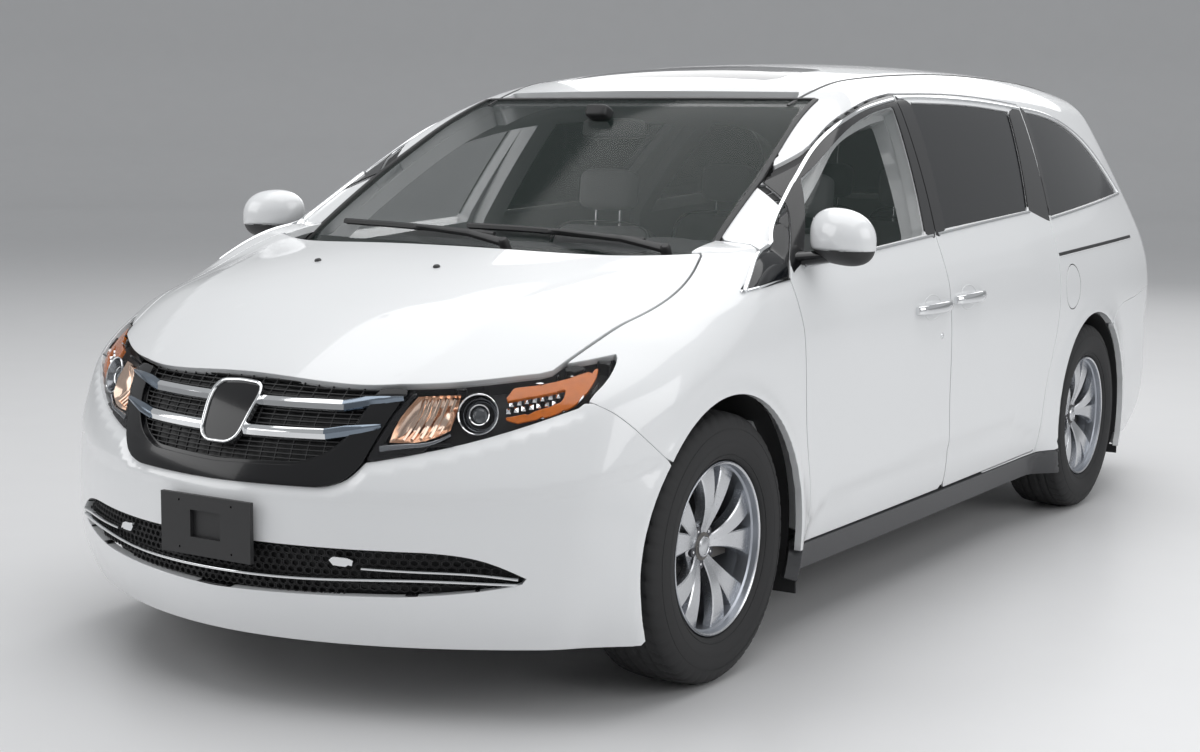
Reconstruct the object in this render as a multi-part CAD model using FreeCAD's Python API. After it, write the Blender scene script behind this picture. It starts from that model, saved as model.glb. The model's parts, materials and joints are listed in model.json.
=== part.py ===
import FreeCAD, Part
import math
import os

# A minivan as an assembly of separate pieces, in millimetres.
# X runs to the vehicle's left, Y to its rear and Z up from the ground.
# A station share is 0 at the nose, 1 at the front axle, 2 at the rear axle and 3 at the tail.
# Height shares are of body_height and width shares are of body_half_width.

Vector = FreeCAD.Vector

SIZES = {
    "wheelbase": 3000,
    "front_overhang": 925,
    "rear_overhang": 1228,
    "body_half_width": 1006,
    "body_height": 1737,
    "track": 1730,
    "tyre_radius": 368.5,
    "tyre_width": 235,
    "tyre_bead_radius": 219,
    "tyre_shoulder_drop": 9,
    "tread_half_width": 92,
    "rim_lip_radius": 234,
    "rim_seat_radius": 218.7,
    "rim_inner_radius": 204,
    "rim_half_width": 99,
    "rim_flange": 11,
    "rim_face_offset": 50,
    "rim_face_thickness": 34,
    "rim_hub_radius": 74,
    "rim_window_radius": 196,
    "rim_spoke_pairs": 5,
    "lug_circle_radius": 60,
    "lug_hole_radius": 9,
    "lug_count": 5,
    "disc_radius": 155,
    "disc_thickness": 26,
    "disc_hat_radius": 78,
    "disc_offset": 22,
    "hub_radius": 38,
    "hub_gap": 0.3,
    "arch_gap": 46.5,
    "liner_thickness": 4,
    "liner_gap": 20,
    "seam_gap": 0.8,
    "swing_gap": 6.5,
    "glass_gap": 0.3,
    "glass_thickness": 5,
    "glass_depth": 10,
    "windshield_thickness": 6,
    "overrun": 60,
    "hood_thickness": 25,
    "fender_thickness": 22,
    "bumper_thickness": 24,
    "roof_thickness": 38,
    "tailgate_thickness": 70,
    "tailgate_rebate": 26,
    "door_thickness": 110,
    "frame_thickness": 45,
    "jamb_thickness": 52,
    "door_flange": 8,
    "door_rebate": 16,
    "jamb_width": 55,
    "cladding_thickness": 40,
    "grille_depth": 46,
    "grille_bar_height": 30,
    "lamp_depth": 90,
    "plate_width": 305.4,
    "plate_height": 155,
    "plate_thickness": 12,
    "plate_hole_spacing": 178,
    "plate_hole_rise": 121,
    "plate_hole_radius": 3.2,
    "floor_height": 252,
    "floor_thickness": 22,
    "rear_floor_height": 392,
    "floor_half_width": 780,
    "rocker_width": 96,
    "rocker_height": 70,
    "wall_thickness": 14,
    "apron_half_width": 520,
    "apron_height": 880,
    "well_half_width": 700,
    "well_height": 800,
    "engine_length": 640,
    "engine_width": 520,
    "engine_height": 560,
    "subframe_height": 90,
    "subframe_half_width": 400,
    "subframe_base": 190,
    "arm_width": 60,
    "arm_thickness": 26,
    "kingpin_inset": 90,
    "knuckle_width": 46,
    "knuckle_depth": 70,
    "knuckle_height": 270,
    "strut_radius": 27,
    "spring_radius": 52,
    "beam_radius": 42,
    "exhaust_radius": 28,
    "muffler_length": 420,
    "muffler_width": 210,
    "muffler_height": 110,
    "tank_length": 760,
    "tank_width": 620,
    "tank_height": 76,
    "seat_width": 520,
    "seat_spacing": 370,
    "bench_half_width": 560,
    "headrest_width": 260,
    "dash_half_width": 735,
    "steering_wheel_radius": 185,
    "steering_rim_radius": 15,
    "steering_hub_radius": 62,
    "steering_offset": 370,
    "mirror_width": 215,
    "mirror_height": 165,
    "mirror_depth": 150,
    "inner_mirror_width": 230,
    "inner_mirror_height": 62,
    "inner_mirror_depth": 26,
    "fuel_flap_radius": 84,
    "fuel_flap_thickness": 12,
    "fuel_recess_depth": 56,
    "flap_width": 200,
    "flap_thickness": 7,
    "wiper_width": 22,
    "buffer_radius": 18,
}

document = FreeCAD.newDocument("Minivan")
sheet = document.addObject("Spreadsheet::Sheet", "Sizes")
for row, (name, value) in enumerate(SIZES.items(), start=1):
    sheet.set(f"A{row}", name)
    sheet.set(f"B{row}", str(value))
    sheet.setAlias(f"B{row}", name)
document.recompute()


def size(name):
    """Read one size from the sheet."""
    return float(sheet.get(name))


wheelbase = size("wheelbase")
front_overhang = size("front_overhang")
rear_overhang = size("rear_overhang")
half_width = size("body_half_width")
body_height = size("body_height")
tyre_radius = size("tyre_radius")
seam_gap = size("seam_gap")
swing_gap = size("swing_gap")
glass_gap = size("glass_gap")
overrun = size("overrun")
front_axle_y = (front_overhang - wheelbase - rear_overhang) / 2
rear_axle_y = front_axle_y + wheelbase
arch_radius = tyre_radius + size("arch_gap")


def station(share):
    """Y of a station share."""
    if share < 1:
        return front_axle_y + (share - 1) * front_overhang
    if share < 2:
        return front_axle_y + (share - 1) * wheelbase
    return rear_axle_y + (share - 2) * rear_overhang


def height(share):
    """Z of a height share."""
    return share * body_height


def breadth(share):
    """X of a width share."""
    return share * half_width


def same(value):
    """A value that is already a size."""
    return value


# Smooth curves through tables of shares


def spline(points):
    """Natural cubic spline through (place, value) pairs, straight beyond its ends."""
    places = [point[0] for point in points]
    values = [point[1] for point in points]
    count = len(points)
    steps = [places[k + 1] - places[k] for k in range(count - 1)]
    slopes = [(values[k + 1] - values[k]) / steps[k] for k in range(count - 1)]
    diagonal = [1.0] * count
    right = [0.0] * count
    for k in range(1, count - 1):
        before = steps[k - 1] if k > 1 else 0.0
        diagonal[k] = 2 * (steps[k - 1] + steps[k])
        right[k] = 6 * (slopes[k] - slopes[k - 1])
        weight = before / diagonal[k - 1]
        diagonal[k] -= weight * before
        right[k] -= weight * right[k - 1]
    bends = [0.0] * count
    for k in range(count - 2, 0, -1):
        bends[k] = (right[k] - steps[k] * bends[k + 1]) / diagonal[k]
    start = slopes[0] - steps[0] * bends[1] / 6
    finish = slopes[-1] + steps[-1] * bends[-2] / 6

    def value_at(place):
        if place <= places[0]:
            return values[0] + start * (place - places[0])
        if place >= places[-1]:
            return values[-1] + finish * (place - places[-1])
        k = 0
        while places[k + 1] < place:
            k += 1
        step = steps[k]
        run = place - places[k]
        slope = slopes[k] - step * (2 * bends[k] + bends[k + 1]) / 6
        return values[k] + run * (slope + run * (bends[k] / 2 + run * (bends[k + 1] - bends[k]) / (6 * step)))

    return value_at


def table(shares, place, value):
    """Spline of a share table, with each column turned into sizes."""
    return spline([(place(a), value(b)) for a, b in shares])


def ease(fraction):
    """Smooth step from 0 to 1."""
    fraction = min(1.0, max(0.0, fraction))
    return fraction * fraction * (3 - 2 * fraction)


# The outer skin: sides, nose, hood, windshield, roof and tail, each a smooth field

side_shares = [
    (0.1151, 0.9195), (0.167, 0.9563), (0.2303, 0.9791), (0.3224, 0.9841), (0.4318, 0.995), (0.5181, 0.997), (0.5757, 0.9841),
    (0.6218, 0.9622), (0.6621, 0.9364), (0.7484, 0.8748), (0.8348, 0.8032), (0.9211, 0.7177), (0.9787, 0.6461),
]
low_taper_shares = [
    (0, 0.0557), (0.5676, 0.0159), (1, 0.008), (1.2333, 0.002), (1.5, 0), (1.8, 0.002), (2, 0.008),
    (2.4886, 0.0278), (3, 0.0746),
]
high_taper_shares = [
    (0, 0.0596), (1, 0.0298), (1.2333, 0.006), (1.5, 0), (1.7667, 0.002), (2, 0.0159), (2.4886, 0.0547), (3, 0.1243),
]
nose_shares = [
    (0.1036, 0.0811), (0.1497, 0.0389), (0.2303, 0.0173), (0.2879, 0.0151), (0.3454, 0.027), (0.403, 0.0638),
    (0.4721, 0.1351), (0.5181, 0.2216),
]
hood_shares = [
    (0, 0.403), (0.1351, 0.4824), (0.2973, 0.5354), (0.5135, 0.5889), (0.7341, 0.6287), (1, 0.6563),
    (1.06, 0.6678), (1.1667, 0.6793),
]
hood_crown_shares = [
    (0, 0.0345), (0.2973, 0.0576), (0.6216, 0.0668), (1, 0.0518), (1.0733, 0.0184), (1.2, 0.0115),
]
windshield_shares = [
    (0.6045, 1.03), (0.6621, 1.0783), (0.7484, 1.1633), (0.8348, 1.2567), (0.8981, 1.33), (0.9442, 1.3933),
]
roof_shares = [
    (1.3, 0.9125), (1.3667, 0.9396), (1.5, 0.9729), (1.6667, 0.9937), (1.8333, 1), (2, 0.9954),
    (2.4072, 0.9787), (2.8143, 0.947),
]
tail_shares = [
    (0.1036, 2.9365), (0.1727, 2.9796), (0.2591, 2.997), (0.3454, 2.9919), (0.3915, 2.9715), (0.4606, 2.9691),
    (0.5757, 2.9365), (0.6908, 2.8836), (0.806, 2.8143), (0.9211, 2.7329), (0.9787, 2.6881),
]
side_width = table(side_shares, height, breadth)
low_taper = table(low_taper_shares, station, breadth)
high_taper = table(high_taper_shares, station, breadth)
nose_line = table(nose_shares, height, station)
hood_line = table(hood_shares, station, height)
hood_crown = table(hood_crown_shares, station, height)
windshield_line = table(windshield_shares, height, station)
roof_line = table(roof_shares, station, height)
tail_line = table(tail_shares, height, station)

belt_share = 0.5181
belt_blend_share = 0.2879
arch_flare_share = 0.997
arch_flare_top_share = 0.5181
flare_reach_share = 1.46
flare_blend_share = 0.325
nose_wrap_share = 0.2336
windshield_wrap_share = 0.1143
windshield_foot_share = 0.6045
roof_crown_share = 0.0317
tail_wrap_share = 0.169
wrap_width_share = 0.6958
crown_width_share = 0.7952
front_corner_share = 0.1173
rear_corner_share = 0.169
hood_edge_share = 0.0547
pillar_edge_share = 0.0345
rear_pillar_share = 0.0691
roof_edge_share = 0.0489
round_power = 2.2


def body_side_x(y, z):
    """Half width of the body at a station and height, with its flared wheel arches."""
    upper = ease((z - height(belt_share)) / height(belt_blend_share))
    width = side_width(z) - low_taper(y) * (1 - upper) - high_taper(y) * upper
    if z < height(arch_flare_top_share):
        flare = max(width, breadth(arch_flare_share) - 0.6 * low_taper(y))
        for axle_y in (front_axle_y, rear_axle_y):
            away = math.hypot(y - axle_y, z - tyre_radius)
            near = ease((flare_reach_share * tyre_radius - away) / (flare_blend_share * tyre_radius))
            width += (flare - width) * near
    return width


def rounded_max(first, second, radius):
    """The larger of two fields, with the corner where they meet rounded."""
    if first < -radius:
        return second if second > first else first
    if second < -radius:
        return first
    total = (first + radius) ** round_power + (second + radius) ** round_power
    return total ** (1 / round_power) - radius


def tail_field(x, y, z):
    crown = x / breadth(crown_width_share)
    return 0.9 * (y - tail_line(z) + breadth(tail_wrap_share) * crown**2.6)


def lower_field(x, y, z):
    """Below zero inside the lower body, from nose to tail under the hood's level."""
    x = abs(x)
    wrap = x / breadth(wrap_width_share)
    crown = x / breadth(crown_width_share)
    side = x - body_side_x(y, z)
    nose = 0.85 * (nose_line(z) + breadth(nose_wrap_share) * wrap**1.95 - y)
    walls = rounded_max(side, nose, breadth(front_corner_share))
    walls = rounded_max(walls, tail_field(x, y, z), breadth(rear_corner_share))
    hood = 0.95 * (z - hood_line(y) + hood_crown(y) * crown**2.5)
    return rounded_max(walls, hood, height(hood_edge_share))


def upper_field(x, y, z):
    """Below zero inside the cabin's outline: windshield, roof, sides and tail."""
    x = abs(x)
    wrap = x / breadth(wrap_width_share)
    foot = windshield_line(max(z, height(windshield_foot_share)))
    screen = 0.47 * (foot + breadth(windshield_wrap_share) * wrap**2 - y)
    roof = z - roof_line(y) + height(roof_crown_share) * wrap**2.2
    upper = rounded_max(0.92 * (x - body_side_x(y, z)), screen, height(pillar_edge_share))
    upper = rounded_max(upper, tail_field(x, y, z), height(rear_pillar_share))
    return rounded_max(upper, roof, height(roof_edge_share))


def skin_field(x, y, z):
    """Below zero inside the body and above zero outside it."""
    return min(lower_field(x, y, z), upper_field(x, y, z))


def skin_hit(field, start, heading, reach):
    """The point where a ray from inside a field leaves it."""
    low, high = 0.0, reach
    marks = 16
    for mark in range(1, marks + 1):
        distance = reach * mark / marks
        point = start + heading * distance
        if field(point.x, point.y, point.z) > 0:
            high = distance
            break
        low = distance
    for _ in range(22):
        middle = (low + high) / 2
        point = start + heading * middle
        if field(point.x, point.y, point.z) > 0:
            high = middle
        else:
            low = middle
    return start + heading * ((low + high) / 2)


def skin_normal(field, point):
    """Outward direction of a field at a point."""
    step = half_width / 1000
    here = field(point.x, point.y, point.z)
    slope = Vector(
        field(point.x + step, point.y, point.z) - here,
        field(point.x, point.y + step, point.z) - here,
        field(point.x, point.y, point.z + step) - here,
    )
    return slope.normalize()


class Patch:
    """A grid of rays that leave the body through its skin, for slabs at any depth under it."""

    def __init__(self, rays, field=skin_field):
        self.cells = []
        for row in rays:
            cells = []
            for start, heading, reach in row:
                point = skin_hit(field, start, heading, reach)
                lean = max(heading.dot(skin_normal(field, point)), 0.55)
                cells.append((point, heading, lean))
            self.cells.append(cells)

    def surface(self, depth):
        """The skin moved inwards by a depth, which may follow the height."""
        rows = []
        for cells in self.cells:
            row = []
            for point, heading, lean in cells:
                drop = depth(point.z) if callable(depth) else depth
                row.append(point - heading * (drop / lean))
            rows.append(row)
        sheet_surface = Part.BSplineSurface()
        sheet_surface.interpolate(rows)
        return sheet_surface

    def slab(self, near, far):
        """The solid between two depths."""
        outer, inner = self.surface(near), self.surface(far)
        u0, u1, v0, v1 = outer.bounds()
        faces = [outer.toShape(), inner.toShape()]
        for a, b in (
            (outer.uIso(u0), inner.uIso(u0)),
            (outer.uIso(u1), inner.uIso(u1)),
            (outer.vIso(v0), inner.vIso(v0)),
            (outer.vIso(v1), inner.vIso(v1)),
        ):
            faces.append(Part.makeRuledSurface(a.toShape(), b.toShape()))
        shell = Part.makeShell(faces)
        shell.sewShape()
        solid = Part.makeSolid(shell)
        if solid.Volume < 0:
            solid.reverse()
        return solid


def evenly(first, last, count):
    """Count numbers from first to last."""
    return [first + (last - first) * k / (count - 1) for k in range(count)]


def cross_fan(shares, centre_share, angles):
    """Rays in cross planes at station shares, fanned over the left side."""
    centre_x, centre_z = breadth(centre_share[0]), height(centre_share[1])
    rays = []
    for share in shares:
        centre = Vector(centre_x, station(share), centre_z)
        rays.append([
            (centre, Vector(math.cos(math.radians(a)), 0, math.sin(math.radians(a))), half_width)
            for a in angles
        ])
    return rays


def level_fan(shares, centre_share, angles, reach):
    """Rays in level planes at height shares, fanned about an upright line."""
    rays = []
    for share in shares:
        centre = Vector(0, station(centre_share), height(share))
        rays.append([
            (centre, Vector(math.cos(math.radians(a)), math.sin(math.radians(a)), 0), reach)
            for a in angles
        ])
    return rays


def length_fan(widths, centre_share, angles):
    """Rays in lengthwise planes, fanned from a line across the body; widths follow the angle."""
    centre_y, centre_z = station(centre_share[0]), height(centre_share[1])
    rays = []
    for angle, width in zip(angles, widths):
        turn = math.radians(angle)
        heading = Vector(0, math.cos(turn), math.sin(turn))
        rays.append([
            (Vector(breadth(width) * k, centre_y, centre_z), heading, wheelbase)
            for k in evenly(-1, 1, 13)
        ])
    return rays


# Outlines in two directions, made of runs that meet at corners


class Outline:
    """A closed outline of runs; each run is a list of points, smooth if it has more than two."""

    def __init__(self, runs, map_a, map_b):
        self.runs = [[(map_a(a), map_b(b)) for a, b in run] for run in runs]

    def tangents(self, run):
        if len(run) == 2:
            return [(run[1][0] - run[0][0], run[1][1] - run[0][1])] * 2
        curve = self.curve(run)
        result = []
        for point in run:
            direction = curve.tangent(curve.parameter(Vector(point[0], point[1], 0)))[0]
            result.append((direction.x, direction.y))
        return result

    def curve(self, run):
        result = Part.BSplineCurve()
        result.interpolate([Vector(a, b, 0) for a, b in run])
        return result

    def area(self):
        total = 0.0
        points = [point for run in self.runs for point in run[:-1]]
        for (a, b), (c, d) in zip(points, points[1:] + points[:1]):
            total += a * d - b * c
        return total / 2

    def grown(self, distance):
        """The outline moved outwards, with its corners kept."""
        side = 1 if self.area() > 0 else -1
        normals = []
        for run in self.runs:
            row = []
            for a, b in self.tangents(run):
                length = math.hypot(a, b)
                row.append((side * b / length, -side * a / length))
            normals.append(row)
        moved = Outline([], same, same)
        count = len(self.runs)
        for k, run in enumerate(self.runs):
            row = []
            for i, (a, b) in enumerate(run):
                na, nb = normals[k][i]
                other = None
                if i == 0:
                    other = normals[k - 1][-1]
                elif i == len(run) - 1:
                    other = normals[(k + 1) % count][0]
                if other:
                    spread = 1 + na * other[0] + nb * other[1]
                    na, nb = (na + other[0]) / spread, (nb + other[1]) / spread
                row.append((a + distance * na, b + distance * nb))
            moved.runs.append(row)
        return moved

    def prism(self, place, reach):
        """Solid of the outline: place maps its two values to a point, reach is the extrusion."""
        edges = []
        for run in self.runs:
            points = [place(a, b) for a, b in run]
            if len(points) == 2:
                edges.append(Part.makeLine(points[0], points[1]))
            else:
                curve = Part.BSplineCurve()
                curve.interpolate(points)
                edges.append(curve.toShape())
        return Part.Face(Part.Wire(edges)).extrude(reach)

    def from_side(self):
        """Prism through the left half, seen from the side."""
        return self.prism(lambda y, z: Vector(0, y, z), Vector(half_width + overrun, 0, 0))

    def across(self):
        """Prism through the whole width, seen from the side."""
        width = half_width + overrun
        return self.prism(lambda y, z: Vector(-width, y, z), Vector(2 * width, 0, 0))

    def from_front(self):
        """Prism from the nose to the middle, seen from the front."""
        return self.prism(lambda x, z: Vector(x, station(0) - overrun, z), Vector(0, wheelbase, 0))

    def from_rear(self):
        """Prism from the rear axle to the tail, seen from the rear."""
        return self.prism(lambda x, z: Vector(x, rear_axle_y, z), Vector(0, rear_overhang + overrun, 0))

    def from_above(self):
        """Prism through the whole height, seen from above."""
        return self.prism(lambda x, y: Vector(x, y, 0), Vector(0, 0, body_height + overrun))


def side_outline(*runs):
    return Outline(runs, station, height)


def end_outline(*runs):
    return Outline(runs, breadth, height)


def plan_outline(*runs):
    return Outline(runs, breadth, station)


def both_halves(*right_runs):
    """Runs from the centre line round the left half and back, with their mirror images."""
    left = [list(run) for run in right_runs]
    mirror = [[(-a, b) for a, b in reversed(run)] for run in reversed(left)]
    return left + mirror


def mirrored(shape):
    """The same piece on the other side."""
    return shape.mirror(Vector(0, 0, 0), Vector(1, 0, 0))


def block(x0, x1, y0, y1, z0, z1):
    """Plain block between two corners."""
    return Part.makeBox(x1 - x0, y1 - y0, z1 - z0, Vector(x0, y0, z0))


def rod(start, end, radius):
    """Round bar between two points."""
    return Part.makeCylinder(radius, start.distanceToPoint(end), start, end - start)


def fused(first, *others):
    return first.multiFuse(list(others)).removeSplitter()


def largest(shape):
    """The main solid of a cut piece."""
    return sorted(shape.Solids, key=lambda solid: -solid.Volume)[0]


pieces = {}


def keep(name, shape):
    """Add a finished shape to the document as a sub-part."""
    item = document.addObject("Part::Feature", name)
    item.Label = name
    item.Shape = shape
    pieces[name] = item
    return item


# Patches of the skin

belt_low_share = 0.5987
belt_high_share = 0.6793


def wall_depth(extra):
    """Door thickness below the belt and frame thickness above it, plus an extra."""

    def depth(z):
        upper = ease((z - height(belt_low_share)) / height(belt_high_share - belt_low_share))
        door, frame = size("door_thickness"), size("frame_thickness")
        return door + (frame - door) * upper + extra

    return depth


side_station_shares = [
    1.11, 1.1467, 1.1867, 1.2333, 1.2833, 1.3367, 1.3933, 1.4833, 1.6, 1.7167,
    1.8333, 1.95, 2.1221, 2.342, 2.5212, 2.6678, 2.7573,
]
side_patch = Patch(cross_fan(side_station_shares, (0.2485, 0.5757), evenly(-50, 66, 17)))
fender_station_shares = [
    0.3946, 0.5027, 0.6108, 0.7297, 0.8595, 1, 1.0433, 1.0867, 1.1267, 1.1667, 1.2,
]
fender_patch = Patch(cross_fan(fender_station_shares, (0.4274, 0.3685), evenly(-42, 68, 14)))
front_height_shares = [
    0.1065, 0.1324, 0.1727, 0.2188, 0.2706, 0.3224, 0.3742, 0.4203, 0.4606, 0.4951, 0.5296,
]
front_patch = Patch(level_fan(front_height_shares, 0.9351, evenly(-182, 2, 33), front_overhang * 1.5))
tail_height_shares = [
    0.1151, 0.1554, 0.2015, 0.2533, 0.3051, 0.3569, 0.403, 0.4606, 0.5296, 0.6045,
    0.6793, 0.7542, 0.8233, 0.8808, 0.9211, 0.9315,
]
tail_patch = Patch(level_fan(tail_height_shares, 2.0489, evenly(0, 180, 35), rear_overhang * 1.5))
roof_angles = [17, 19, 21, 23, 25, 28, 33, 40, 50, 62, 76, 90, 104, 118, 130, 139, 145, 149, 153, 158]
roof_patch = Patch(length_fan([0.6024] * len(roof_angles), (1.8, 0.5757), roof_angles))
glass_angles = evenly(106, 158, 9)
glass_width_shares = [0.664, 0.6779, 0.6918, 0.7038, 0.7157, 0.7276, 0.7396, 0.7495, 0.7575]
glass_patch = Patch(length_fan(glass_width_shares, (1.5, 0.2879), glass_angles), upper_field)

hood_front_shares = [(0, 0.1849), (0.2823, 0.2043), (0.4453, 0.2605), (0.6044, 0.3632), (0.7386, 0.4822), (0.8449, 0.5762)]
hood_rear_shares = [(0, 0.9946), (0.2575, 1.0027), (0.5169, 1.028), (0.7624, 1.075), (0.8449, 1.1)]
hood_front = table(hood_front_shares, breadth, station)
hood_rear = table(hood_rear_shares, breadth, station)
hood_half_width_share = 0.837
hood_margin_share = 0.0159


def hood_rays():
    """Upward rays between the hood's front and rear edges."""
    rays = []
    for along in evenly(0, 1, 13):
        row = []
        for across in evenly(-1, 1, 19):
            x = breadth(hood_half_width_share) * across
            front = hood_front(abs(x)) - breadth(hood_margin_share)
            rear = hood_rear(abs(x)) + breadth(hood_margin_share)
            start = Vector(x, front + (rear - front) * along, height(0.3685))
            row.append((start, Vector(0, 0, 1), body_height / 2))
        rays.append(row)
    return rays


hood_patch = Patch(hood_rays(), lower_field)

# Panel outlines

door_front_run = [(1.1667, 0.167), (1.1653, 0.2476), (1.1557, 0.3402), (1.1433, 0.4439), (1.1343, 0.5377), (1.1257, 0.6131)]
door_divider_run = [(1.1257, 0.6131), (1.2183, 0.764)]
door_top_run = [(1.2183, 0.764), (1.2823, 0.8135), (1.3477, 0.8624), (1.4157, 0.8929), (1.4857, 0.9136), (1.536, 0.9234)]
pillar_run = [(1.536, 0.9234), (1.4877, 0.65)]
pillar_low_run = [(1.4877, 0.65), (1.49, 0.5625), (1.4933, 0.4974), (1.5017, 0.403), (1.5107, 0.2879), (1.5157, 0.1693)]
front_door_outline = side_outline(
    door_front_run, door_divider_run, door_top_run, pillar_run, pillar_low_run,
    [pillar_low_run[-1], door_front_run[0]],
)
slider_top_run = [(1.536, 0.9234), (1.7123, 0.9292), (1.8333, 0.9246), (1.93, 0.9159)]
slider_rear_run = [(1.864, 0.6615), (1.8567, 0.5815), (1.8517, 0.4496), (1.834, 0.3414), (1.8203, 0.2769), (1.817, 0.1727)]
sliding_door_outline = side_outline(
    pillar_low_run[::-1], pillar_run[::-1], slider_top_run, [slider_top_run[-1], slider_rear_run[0]],
    slider_rear_run, [slider_rear_run[-1], pillar_low_run[-1]],
)
front_window_outline = side_outline(
    [(1.1567, 0.6333), (1.2387, 0.7674)],
    [(1.2387, 0.7674), (1.2933, 0.8071), (1.3533, 0.8463), (1.42, 0.8751), (1.4767, 0.8918), (1.515, 0.8993)],
    [(1.515, 0.8993), (1.4617, 0.6621)],
    [(1.4617, 0.6621), (1.1567, 0.6333)],
)
slider_window_outline = side_outline(
    [(1.5187, 0.669), (1.5673, 0.9085)],
    [(1.5673, 0.9085), (1.7123, 0.9096), (1.8, 0.9062), (1.88, 0.8993)],
    [(1.88, 0.8993), (1.8, 0.6908)],
    [(1.8, 0.6908), (1.5187, 0.669)],
)
quarter_window_outline = side_outline(
    [(1.874, 0.6747), (1.9447, 0.9016)],
    [(1.9447, 0.9016), (2.0489, 0.8923), (2.228, 0.8705), (2.3664, 0.8325), (2.4723, 0.7772), (2.5472, 0.7139)],
    [(2.5472, 0.7139), (1.874, 0.6747)],
)
corner_window_outline = side_outline(
    [(1.056, 0.6114), (1.1213, 0.6183)],
    [(1.1213, 0.6183), (1.202, 0.749)],
    [(1.202, 0.749), (1.056, 0.6114)],
)
fender_outline = side_outline(
    door_front_run,
    [(1.1257, 0.6131), (1.042, 0.6022)],
    [(1.042, 0.6022), (1.0963, 0.6431)],
    [(1.0963, 0.6431), (1.1333, 0.6747)],
    [(1.1333, 0.6747), (1.1333, 0.806)],
    [(1.1333, 0.806), (0.3514, 0.806)],
    [(0.3514, 0.806), (0.3514, 0.5354)],
    [(0.3514, 0.5354), (0.5265, 0.4485)],
    [(0.5265, 0.4485), (0.6119, 0.3978), (0.6681, 0.3673)],
    [(0.6681, 0.3673), (0.6973, 0.167)],
    [(0.6973, 0.167), (1.1667, 0.167)],
)
bumper_side_outline = side_outline(
    [(-0.0811, 0.0576), (0.6757, 0.0576)],
    [(0.6757, 0.0576), (0.6973, 0.167)],
    [(0.6973, 0.167), (0.6681, 0.3673)],
    [(0.6681, 0.3673), (0.6119, 0.3978), (0.5265, 0.4485)],
    [(0.5265, 0.4485), (0.3514, 0.5354)],
    [(0.3514, 0.5354), (0.3514, 0.5757)],
    [(0.3514, 0.5757), (-0.0811, 0.5757)],
    [(-0.0811, 0.5757), (-0.0811, 0.0576)],
)
hood_outline = plan_outline(*both_halves(
    hood_front_shares[:5],
    [(0.7386, 0.4822), (0.7744, 0.6141), (0.8032, 0.7795), (0.8161, 0.9622), (0.8072, 1.03), (0.7654, 1.0753)],
    [(0.7654, 1.0753), (0.5169, 1.028), (0.2575, 1.0027), (0, 0.9946)],
))
lamp_outline = end_outline(
    [(0.4056, 0.3765), (0.4692, 0.4836)],
    [(0.4692, 0.4836), (0.6044, 0.494), (0.7386, 0.5089), (0.841, 0.525)],
    [(0.841, 0.525), (0.8569, 0.5009), (0.833, 0.4565)],
    [(0.833, 0.4565), (0.6511, 0.4128), (0.4056, 0.3765)],
)
grille_outline = end_outline(*both_halves(
    [(0, 0.5469), (0.4692, 0.5469)],
    [(0.4692, 0.5469), (0.4692, 0.4836)],
    [(0.4692, 0.4836), (0.4056, 0.3765)],
    [(0.4056, 0.3765), (0.3698, 0.3523), (0.2982, 0.3397)],
    [(0.2982, 0.3397), (0, 0.3385)],
))
intake_outline = end_outline(*both_halves(
    [(0, 0.2568), (0.5567, 0.2545)],
    [(0.5567, 0.2545), (0.6759, 0.2447), (0.7813, 0.2142)],
    [(0.7813, 0.2142), (0.6958, 0.2026), (0.497, 0.1888)],
    [(0.497, 0.1888), (0, 0.1808)],
))
windshield_outline = end_outline(*both_halves(
    [(0, 0.6402), (0.7376, 0.6402)],
    [(0.7376, 0.6402), (0.7237, 0.6782), (0.7097, 0.7657), (0.6402, 0.9085)],
    [(0.6402, 0.9085), (0, 0.9085)],
))
roof_outline = plan_outline(*both_halves(
    [(0, 1.3), (0.5865, 1.3)],
    [(0.5865, 1.3), (0.5865, 2.8958)],
    [(0.5865, 2.8958), (0, 2.8958)],
))
sunroof_outline = plan_outline(*both_halves(
    [(0, 1.4333), (0.3777, 1.4373)],
    [(0.3777, 1.4373), (0.4125, 1.4483)],
    [(0.4125, 1.4483), (0.4125, 1.56)],
    [(0.4125, 1.56), (0.3777, 1.5707)],
    [(0.3777, 1.5707), (0, 1.572)],
))
tailgate_outline = end_outline(*both_halves(
    [(0, 0.3523), (0.5567, 0.3523)],
    [(0.5567, 0.3523), (0.6213, 0.3742), (0.6511, 0.4375), (0.664, 0.5296)],
    [(0.664, 0.5296), (0.67, 0.6218), (0.664, 0.7081), (0.6342, 0.806), (0.5865, 0.8981)],
    [(0.5865, 0.8981), (0.5567, 0.92)],
    [(0.5567, 0.92), (0, 0.9223)],
))
rear_window_outline = end_outline(*both_halves(
    [(0, 0.6851), (0.5567, 0.6885)],
    [(0.5567, 0.6885), (0.6004, 0.7052)],
    [(0.6004, 0.7052), (0.5865, 0.783), (0.5328, 0.8808)],
    [(0.5328, 0.8808), (0, 0.8895)],
))
tail_lamp_outline = end_outline(
    [(0.6799, 0.521), (0.6799, 0.6172)],
    [(0.6799, 0.6172), (1.0139, 0.6126)],
    [(1.0139, 0.6126), (1.0139, 0.521)],
    [(1.0139, 0.521), (0.6799, 0.521)],
)
lamp_side_outline = side_outline(
    [(2.6433, 0.6275), (2.6759, 0.5757), (2.7736, 0.5181)],
    [(2.7736, 0.5181), (3.0586, 0.5181)],
    [(3.0586, 0.5181), (3.0586, 0.6275)],
    [(3.0586, 0.6275), (2.6433, 0.6275)],
)
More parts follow.
